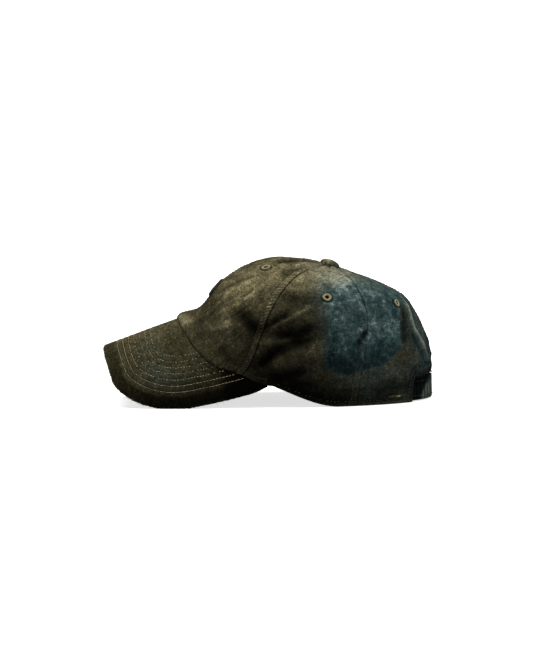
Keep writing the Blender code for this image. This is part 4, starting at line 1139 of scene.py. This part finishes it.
def visor_sheet(name, replaced, depth, upper, columns=331, rows=118):
    """One of the visor's covers, from the crown out to its edge and round it."""
    crowded = 0.86  # below 1: how far the columns crowd towards the tips
    share = np.sin(np.linspace(-1, 1, columns) * crowded * np.pi / 2) / math.sin(crowded * np.pi / 2)
    end, lip, outer_inset = (0.999, 2.2, 2.2) if upper else (0.962, 1.3, 1.6)
    reach = np.abs(share) * end
    if not upper:  # behind the board's ends the under cover rises to meet the top cover
        depth = depth - (depth - 1.4) * smooth((reach / end - 0.91) / 0.09)
    inner = visor_inner(reach, 1.6, depth)
    outward = rim_outward(reach)
    taper = np.minimum(1, 0.45 + (1 - reach) / 0.12)
    ragged = 0.10 + 0.30 * smooth((0.72 - np.abs(share)) / 0.1)
    ragged = ragged * noise(np.stack([share * 330, 0 * share, 0 * share + depth], -1), 3.2, 51)
    outer = visor_outline(reach) - (outer_inset * taper)[:, None] * outward
    outer = outer + (inner - outer) * 0.30 * smooth((reach / end - 0.96) / 0.04)[:, None]
    flat = inner + (outer - inner) * np.linspace(0, 1, rows)[:, None, None]
    turn = np.linspace(0, 1, 8)[1:, None] * np.pi / 2
    bend = outer + outward * ((lip + ragged) * taper * np.sin(turn))[..., None]
    x, forward = np.moveaxis(np.concatenate([flat, bend]), -1, 0)
    x = np.copysign(x, share)
    drop = np.concatenate([np.zeros((rows, columns)), lip * taper * (1 - np.cos(turn))])
    relief, tone, blue, dust = visor_cloth(x, forward, upper)
    back = 0.6 * (drop > 0)
    if upper:
        point = visor_point(x, forward, depth + drop - relief)
        other = visor_point(x - np.copysign(back / 2, x), forward - back, depth + drop + COVER)
    else:
        point = visor_point(x, forward, depth + COVER - drop + relief)
        other = visor_point(x, forward - back, depth - drop)
        # the under cover is painted a little darker, as painted shade
        tone = tone - 0.04
    quads = grid_quads(rows + 7, columns)[:, ::-1 if upper else 1]
    faces_of = (above_table(face, 0.12).reshape(-1, 3) for face in (point, other))
    points, faces, keep = thick(*faces_of, quads)
    tone, blue, dust = (np.tile(values.ravel(), 2)[keep] for values in (tone, blue, dust))
    make_piece(name, points, faces, canvas, "visor_canvas", replaces=[replaced], tone=tone, blue=blue,
               dust=dust, cloth=lay_flat(arc_across(x), forward)[keep])


visor_sheet("visor_top_canvas", "visor_top_cover", 0.0, True)
visor_sheet("visor_under_canvas", "visor_under_cover", UNDER_DEPTH, False)

# the two outer rows are whole; in the others the worn stitches are short, thick and partly missing
FINE, WORN = {"length": 2.5, "gap": 0.25, "lift": 0.16}, {"length": 1.6, "gap": 0.75, "lift": 0.34}
UPPER_ROWS = [(FINE, 0.20, 0.0), (FINE, 0.25, 0.03), (WORN, 0.34, 0.10), (WORN, 0.34, 0.18),
              (WORN, 0.34, 0.22), (WORN, 0.34, 0.18), (WORN, 0.34, 0.12)]
upper_rows, lower_rows = Threads(), Threads()
for k, (line, (kind, radius, missing)) in enumerate(zip(STITCH_LINES, UPPER_ROWS)):
    x, forward = arc_back(line[:, 0]), line[:, 1]
    normal = visor_normal(x)
    point = visor_point(x, forward, -visor_cloth(x, forward)[0] - 0.05)
    upper_rows.row(point, normal, radius=radius, skip=missing, wander=0.06 + 0.03 * k, **kind)
    point = visor_point(x, forward, UNDER_DEPTH + COVER + visor_cloth(x, forward, False)[0] + 0.05)
    lower_rows.row(above_table(point, 0.4), -normal, length=2.35, radius=0.25, skip=0.04, wander=0.1)
upper_rows.make("visor_top_stitching", tan_thread)
lower_rows.make("visor_under_stitching", tan_thread)

# loose ends along the visor's frayed edge
EDGE_DEPTH = 2.0  # of the edge's middle, below the visor's upper face
fray = Threads()
for count, longest, radius in ((520, 1.3, 0.10), (150, 2.8, 0.12)):
    where = RNG.uniform(-0.82, 0.82, count)
    rim, outward = visor_outline(np.abs(where)), rim_outward(np.abs(where))
    inside = rim - 0.2 * outward
    x = np.copysign(inside[:, 0], where)
    root = visor_point(x, inside[:, 1], EDGE_DEPTH + RNG.uniform(-0.7, 0.7, count))
    tip = visor_point(np.copysign(rim[:, 0] + outward[:, 0], where), rim[:, 1] + outward[:, 1], EDGE_DEPTH)
    direction = unit(tip - visor_point(x, rim[:, 1], EDGE_DEPTH)) + RNG.normal(0, 0.38, (count, 3))
    length = longest * RNG.uniform(0.25, 1.0, count) ** 1.3
    high = root[:, 2] > 3.0  # none where the visor rests on the table
    fray.fibres(root[high], direction[high], length[high], radius, 0.15)
fray.make("visor_frayed_edge", tan_thread)

# ---- the button ----


def make_button():
    r = BUTTON_RADIUS
    profile = [(0.02, 5.8), (0.25 * r, 5.66), (0.5 * r, 5.3), (0.72 * r, 4.62), (0.87 * r, 3.75),
               (0.97 * r, 2.75), (r, 1.75), (0.985 * r, 0.7), (0.95 * r, 0.15), (0.88 * r, 0.3),
               (0.885 * r, 1.9), (0.76 * r, 3.1), (0.46 * r, 4.4), (0.02, 4.9)]
    line = smooth_line(profile, 6)
    outer = (np.arange(len(line)) < 54)[:, None]  # from the top down to the rim's foot
    steps = 120
    turn = circle_steps(steps)
    low = np.clip((4.6 - line[:, 1:]) / 3, 0, 1) * outer
    pleat = low * (1 - np.abs(np.sin(turn * 5.5 + 0.7 * np.sin(turn * 2)))) ** 2
    radius = line[:, :1] * (1 - 0.035 * pleat)
    points = np.stack([radius * np.cos(turn), radius * np.sin(turn), line[:, 1:] + 0 * turn], -1)
    points[..., 2] += outer * 0.12 * noise(points, 3.5, 60)
    c, s = math.cos(-TOP_TILT), math.sin(-TOP_TILT)
    rotate = np.array([[1, 0, 0], [0, c, -s], [0, s, c]])
    placed = points @ rotate.T + np.array([0, TOP_Y, TOP_Z + 0.4])
    n = len(line) * steps
    faces = grid_quads(len(line), steps, closed=True)[:, ::-1].tolist()
    faces += [list(range(steps)), list(range(n - steps, n))[::-1]]
    flat = points.reshape(-1, 3)
    # painted light: the front of the button lighter and paler, its back darker and bluer; painted shade in
    # the pleats and at the rim
    front = smooth(0.5 - flat[:, 1] / 9)
    rim = bell(flat[:, 2] - 2.2, 1.6)
    tone = 0.83 + 0.14 * noise(flat, 4, 61) - 0.25 * pleat.ravel() + 0.22 * front - 0.12 * rim
    dust = 0.20 + 0.42 * front * smooth(noise(flat, 5, 62) + 0.6)
    make_piece("button_canvas", placed.reshape(-1, 3), faces, canvas, "canvas", replaces=["top_button_cover"],
               tone=tone, blue=0.35 * (1 - front), dust=dust, cloth=flat * 0.001)


make_button()

# ---- inside: sweatband, tapes, binding, labels ----


def lining_ripple(base, wave):
    return wave * fractal(base, 12, 2, 70) + 0.05 * noise(base, 2.5, 71)


def inner_strip(name, replaced, phi, s, depth, thickness, paint, slot, wave, flip=False, rows=()):
    """A strip of cloth inside the crown, from a grid of phi and s at a depth below the crown's face.

    rows are its rows of stitching, each as phi, s and depth.
    """
    normal, base = crown_normal(phi, s), crown(phi, s)
    outer = base - normal * depth[..., None]
    inner = base - normal * (depth + thickness + lining_ripple(base, wave))[..., None]
    quads = grid_quads(*phi.shape)[:, ::-1 if flip else 1]
    points, faces, keep = thick(*(above_table(face, 0.2).reshape(-1, 3) for face in (outer, inner)), quads)
    make_piece(name, points, faces, paint, slot, replaces=[replaced],
               cloth=lay_flat(phi * MM_PER_DEGREE, s * LINE_LENGTH)[keep])
    if not rows:
        return
    stitches = Threads()
    for line_phi, line_s, line_depth in rows:
        at = crown(line_phi, line_s)
        out = -crown_normal(line_phi, line_s)
        spot = at + out * (line_depth + thickness + lining_ripple(at, wave) + 0.05)[..., None]
        stitches.row(above_table(spot, 0.5), out, length=2.2, gap=0.8, radius=0.2, lift=0.2)
    stitches.make(f"{name}_stitches", crown_thread)


def pocket_depth(phi):
    """The sweatband's depth: at the back it leaves room for the strap."""
    return 2.8 + 5.2 * smooth((np.abs(phi) - 100) / 20)


band_phi = np.linspace(2 - ARCH_PHI, ARCH_PHI - 2, 341)
band_low = 0.012 + 0.023 * smooth((VISOR_END_PHI + 6 - np.abs(band_phi)) / 4)
band_rows = np.r_[0, np.linspace(0.03, 0.97, 32), 1][:, None]
band_s = band_low + band_rows * (0.195 - band_low)
band_grid = np.repeat(band_phi[None], len(band_rows), 0)
band_depth = pocket_depth(band_grid) + 0.25 * ((band_rows < 0.01) + (band_rows > 0.99))
row_phi = np.linspace(4 - ARCH_PHI, ARCH_PHI - 4, 500)
band_stitches = [(row_phi, np.full(500, s), pocket_depth(row_phi)) for s in (0.048, 0.180)]
inner_strip("sweatband_lining", "sweatband", band_grid, band_s, band_depth, 1.0, sweatband_cloth,
            "sweatband", 0.3, rows=band_stitches)


def make_tape(name, seam, sign, low):
    high = 0.93

    def across_seam(share, s, half_width):
        middle = seam(s)
        return sign * (middle + share * half_width / mm_per_degree(np.clip(middle, 0.5, 178.0), s))

    s = np.linspace(low, high, 76)[:, None] + np.zeros((1, 13))
    across = np.linspace(-1, 1, 13)
    depth = TAPE_DEPTH + 0.12 * np.abs(across) ** 6 + 0 * s
    line_s = np.linspace(low + 0.01, high - 0.01, 120)
    rows = [(across_seam(side, line_s, 4.0), line_s, np.full(120, TAPE_DEPTH)) for side in (-1, 1)]
    inner_strip(f"lining_{name}", name, across_seam(across, s, TAPE_HALF_WIDTH), s, depth, TAPE, tape_cloth,
                "seam_tape", 0.12, flip=sign < 0, rows=rows)


make_tape("seam_tape_front", seam_middle, 1, 0.235)
make_tape("seam_tape_back", seam_back, 1, 0.4)
for hand, sign in (("left", 1), ("right", -1)):
    make_tape(f"seam_tape_front_{hand}", seam_side_front, sign, 0.235)
    make_tape(f"seam_tape_back_{hand}", seam_side_back, sign, 0.235)


def binding_line(share):
    """A line part of the way (0 to 1) across the tape that binds the back opening's edge."""
    scale = np.array([MM_PER_DEGREE, 150.0])
    line = arch_line(6) * scale
    line = line[line[:, 1] > 0.02 * scale[1]]
    along = np.gradient(line, axis=0)
    outward = unit(np.stack([-along[:, 1], along[:, 0]], -1))
    return ((line + outward * (1.2 + 6.5 * share)) / scale).T


bind_phi, bind_s = np.stack([binding_line(share) for share in np.linspace(0, 1, 12)], 1)
bind_rows = [(*binding_line(share), np.full(bind_phi.shape[1], TAPE_DEPTH)) for share in (0.15, 0.85)]
inner_strip("lining_arch_binding", "arch_binding", bind_phi, bind_s, TAPE_DEPTH + 0 * bind_phi, TAPE,
            tape_cloth, "seam_tape", 0.12, rows=bind_rows)

LABELS = (("size_label", (126, 134), (0.25, 0.33)), ("care_label", (140, 150), (0.40, 0.55)))
for name, across, (low, high) in LABELS:
    grid_phi, grid_s = np.meshgrid(np.linspace(*across, 24), np.linspace(low, high, 24))
    curl = 0.9 * smooth((low + 0.04 - grid_s) / 0.04)
    inner_strip(f"woven_{name}", name, grid_phi, grid_s, 3.0 + curl, 0.4, label_cloth, "label", 0.15)


def make_patch():
    """A plain oval embroidered patch: rows of satin fill inside a corded border."""
    half_phi, half_s, middle_s = 11.0, 0.062, 0.283
    rings, steps = 40, 160
    r = np.sin(np.linspace(0, 1, rings) * np.pi / 2)[:, None]
    turn = circle_steps(steps)
    phi = half_phi * r * np.cos(turn)
    s = middle_s + half_s * r * np.sin(turn)
    border = smooth((r - 0.80) / 0.05) * np.sqrt(np.clip(1 - ((r - 0.90) / 0.10) ** 2, 0, 1))
    fill = 0.62 + 0.09 * np.sin(2 * np.pi * (s * LINE_LENGTH + 0.35 * phi) / 0.95)
    cord = 1.0 + 0.14 * np.abs(np.cos(turn * 42))
    height = np.where(r > 0.80, np.maximum(fill * (r < 0.83), cord * border), fill)
    height = np.where(r > 0.995, 0.15, height)
    base, normal = crown(phi, s), crown_normal(phi, s)
    lift = np.median(np.maximum(((cloth(phi, s)["point"] - base) * normal).sum(-1), -0.4))
    top = base + normal * (height + 0.35 + lift * 0.5)[..., None]
    under = base + normal * 0.12
    n = rings * steps
    quads = grid_quads(rings, steps, closed=True)
    last = np.arange(n - steps, n)
    rim = np.stack([last, last + n, np.roll(last, -1) + n, np.roll(last, -1)], -1)
    faces = np.vstack([quads, quads[:, ::-1] + n, rim])[:, ::-1]
    make_piece("embroidered_patch", np.vstack([top.reshape(-1, 3), under.reshape(-1, 3)]), faces, patch_cloth,
               "patch", replaces=["front_patch"], cloth=lay_flat(phi * MM_PER_DEGREE, s * LINE_LENGTH))


make_patch()

# ---- the closure ----


def on_strap(angle, radius):
    """Plan points at an angle from straight back towards the wearer's left, about the strap's axis."""
    a = np.radians(angle)
    return np.stack([STRAP_CENTRE[0] + radius * np.sin(a), STRAP_CENTRE[1] + radius * np.cos(a)], -1)


def webbing(name, line, low, high, thickness, replaced, tone, body="crown"):
    """A folded canvas band that follows a line in plan, with rounded edges and closed ends."""
    along = unit(np.gradient(line, axis=0))
    side = np.stack([-along[:, 1], along[:, 0]], -1)
    middle, half = (low + high) / 2, (high - low) / 2
    levels = np.r_[-1, -0.985, -0.95, np.linspace(-0.9, 0.9, 19), 0.95, 0.985, 1]
    swell = np.sqrt(np.clip(1 - np.abs(levels) ** 14, 0, 1))
    swell *= 1 - 0.10 * bell((1 - np.abs(levels)) * half - 2.0, 0.5)  # drawn in along its stitches
    level, swell = np.r_[levels, levels[-2:0:-1]], np.r_[swell, -swell[-2:0:-1]]
    rows, ring = len(line), len(level)
    ripple = 0.06 * noise(np.column_stack([line, np.zeros(rows)]), 6, 80)
    plan = line[:, None] + side[:, None] * (swell * thickness / 2 + ripple[:, None])[..., None]
    around = np.degrees(np.arctan2(line[:, 0] - STRAP_CENTRE[0], line[:, 1] - STRAP_CENTRE[1]))
    z = middle + level * half + np.zeros((rows, 1))
    if body == "strap":  # worn wider where the left back panel hangs over it
        z = z + 1.5 * smooth((around - 4) / 8)[:, None] * smooth((level - 0.2) / 0.8)
    flat = np.concatenate([plan, z[..., None]], -1).reshape(-1, 3)
    faces = grid_quads(rows, ring, closed=True).tolist()
    faces += [list(range(ring))[::-1], list(range((rows - 1) * ring, rows * ring))]
    past_edge = np.abs(flat[:, 2] - middle) - half
    edge = bell(past_edge, 0.7)
    tone = tone + 0.10 * fractal(flat, 10, 2, 81) + 0.10 * edge - 0.10 * bell(past_edge + 2.0, 0.45)
    if body == "strap":  # in the shade of the cloth that hangs over it
        turn, up = np.repeat(around, ring), (flat[:, 2] - low) / (high - low)
        tone -= 0.26 * smooth((up - 0.70) / 0.2) + 0.58 * smooth((turn - 29 + 17 * up**2) / 7)
        tone += 0.10 * np.cos(turn * 1.1) * smooth((turn - 8) / 6)
    lay = np.stack([np.repeat(lengths_along(line), ring), flat[:, 2], 0 * flat[:, 2]], -1) * 0.001
    make_piece(name, flat, faces, canvas, "canvas", body, [replaced], tone=tone, blue=0.55 + 0 * tone,
               dust=0.12 + 0.4 * edge, cloth=lay)


angles = np.linspace(*STRAP_ENDS, 200)
strap_line = on_strap(angles, STRAP_RADIUS - STRAP_THICKNESS / 2)
webbing("canvas_strap", strap_line, STRAP_LOW - 1.7, STRAP_HIGH, STRAP_THICKNESS, "strap", 0.78, "strap")
strap_rows = Threads()


def strap_row(plan, height, way=1, gap=0.8):
    """Stitches on the strap's outer (1) or inner (-1) face."""
    points = np.column_stack([plan, np.full(len(plan), height)])
    out = unit(plan - np.array(STRAP_CENTRE)) * way
    out = np.column_stack([out, np.zeros(len(out))])
    strap_rows.row(points, out, gap=gap, radius=0.13, lift=0.12, raise_by=0.0)


for height in (STRAP_LOW + 2.0, STRAP_HIGH - 2.0):
    strap_row(on_strap(angles[3:-3], STRAP_RADIUS + 0.02), height)
    strap_row(on_strap(angles[3:-3], STRAP_RADIUS - STRAP_THICKNESS - 0.02), height, way=-1)
for angle in (STRAP_ENDS[0] + 1.2, STRAP_ENDS[0] + 3.0):
    plan = np.repeat(on_strap(np.array([angle]), STRAP_RADIUS + 0.02), 60, 0)
    strap_row(plan, np.linspace(STRAP_LOW + 2, STRAP_HIGH - 2, 60), gap=0.7)
strap_rows.make("strap_stitching", crown_thread, body="strap")

# the loop goes round the buckle's bar, and its two ends are sewn between the panel and the sweatband
bar_radius = math.hypot(STRAP_RADIUS + BAR_Y, BAR_X)
bar_angle = BUCKLE_ANGLE + math.degrees(math.atan2(BAR_X, STRAP_RADIUS + BAR_Y))
bend = BAR_RADIUS + 0.75
degrees = math.degrees(bend / bar_radius)
round_bar = [(bar_angle + degrees * math.sin(math.radians(a)), bar_radius + bend * math.cos(math.radians(a)))
             for a in range(0, 181, 15)]
outer_leg = [(-49, 57.0), (-42, 57.2), (-38.5, 57.8), (-35.5, 58.7), (-32.5, 60.5), (-30.8, 61.6)]
inner_leg = [(-30.8, 58.5), (-33, 57.5), (-37, 56.5), (-42, 56.0), (-49, 55.8)]
loop_line = np.array([on_strap(angle, radius) for angle, radius in (*outer_leg, *round_bar, *inner_leg)])
webbing("canvas_buckle_loop", loop_line, 4.5, 16.5, 0.8, "buckle_loop", 0.66)

for node, paint in (("buckle_frame", brass), ("buckle_pin", brass), ("buckle_lever", brass),
                    ("top_button_core", steel), ("top_button_washer", steel), ("visor_board", board)):
    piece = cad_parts[node]
    for place in piece.material_slots:
        place.material = paint
    if node.startswith("buckle"):
        soften = piece.modifiers.new("softened_edges", "BEVEL")
        soften.width = 0.00022
        soften.segments = 2
        soften.limit_method = "ANGLE"
        soften.angle_limit = math.radians(40)

# ---- floor, lights, camera ----

FLOOR_HALF, FLOOR_GLOW = 60, 0.70


def make_floor():
    """A pale floor that glows a little, as a lit studio table does, so that shadows on it stay soft."""
    n = Nodes("pale_floor")
    shade = n.ramp(n.noise(3, 2), [(0.3, (0.86, 0.86, 0.86)), (0.7, (0.88, 0.88, 0.88))])
    paint = n.finish(shade, 0.9, specular=0.0)
    n.shader.inputs["Emission Color"].default_value = (1, 1, 1, 1)
    n.shader.inputs["Emission Strength"].default_value = FLOOR_GLOW
    mesh = bpy.data.meshes.new("studio_floor")
    corners = [(x * FLOOR_HALF, y * FLOOR_HALF, 0) for x, y in ((-1, -1), (1, -1), (1, 1), (-1, 1))]
    mesh.from_pydata(corners, [], [(0, 1, 2, 3)])
    floor = bpy.data.objects.new("studio_floor", mesh)
    floor.location.z = -0.0002
    floor.visible_diffuse = False
    bpy.context.scene.collection.objects.link(floor)
    mesh.materials.append(paint)


def add_sun(name, direction, strength, angle, colour):
    data = bpy.data.lights.new(name, "SUN")
    data.energy, data.angle, data.color = strength, math.radians(angle), colour
    light = bpy.data.objects.new(name, data)
    light.rotation_euler = Vector(direction).to_track_quat("-Z", "Y").to_euler()
    bpy.context.scene.collection.objects.link(light)


make_floor()
add_sun("overhead", (-0.15, 0.10, -1), 2.7, 50, (1.0, 0.985, 0.94))
add_sun("from_behind", (-0.45, -1.0, -0.35), 0.8, 35, (0.80, 0.92, 1.0))
world = bpy.data.worlds.new("soft_studio")
world.use_nodes = True
world.node_tree.nodes["Background"].inputs[0].default_value = (1.0, 1.0, 1.0, 1)
world.node_tree.nodes["Background"].inputs[1].default_value = 0.30
bpy.context.scene.world = world
bpy.context.scene.view_settings.view_transform = "Standard"

FRAME_HEIGHT = 0.5528  # metres that the picture's height covers at the object
DISTANCE = 10.0
ELEVATION, ROLL = math.radians(5), math.radians(0.95)
AIM = Vector((0.0, -0.0012, 0.0557))
camera_data = bpy.data.cameras.new("camera")
camera_data.sensor_width = 36
camera_data.lens = 36 * DISTANCE / FRAME_HEIGHT
camera_data.clip_end = 100
camera = bpy.data.objects.new("camera", camera_data)
away = Vector((math.cos(ELEVATION), 0, math.sin(ELEVATION)))
camera.location = AIM + away * DISTANCE
upright = (-away).to_track_quat("-Z", "Y")
camera.rotation_mode = "QUATERNION"
camera.rotation_quaternion = upright @ Matrix.Rotation(-ROLL, 3, "Z").to_quaternion()
bpy.context.scene.collection.objects.link(camera)
bpy.context.scene.camera = camera
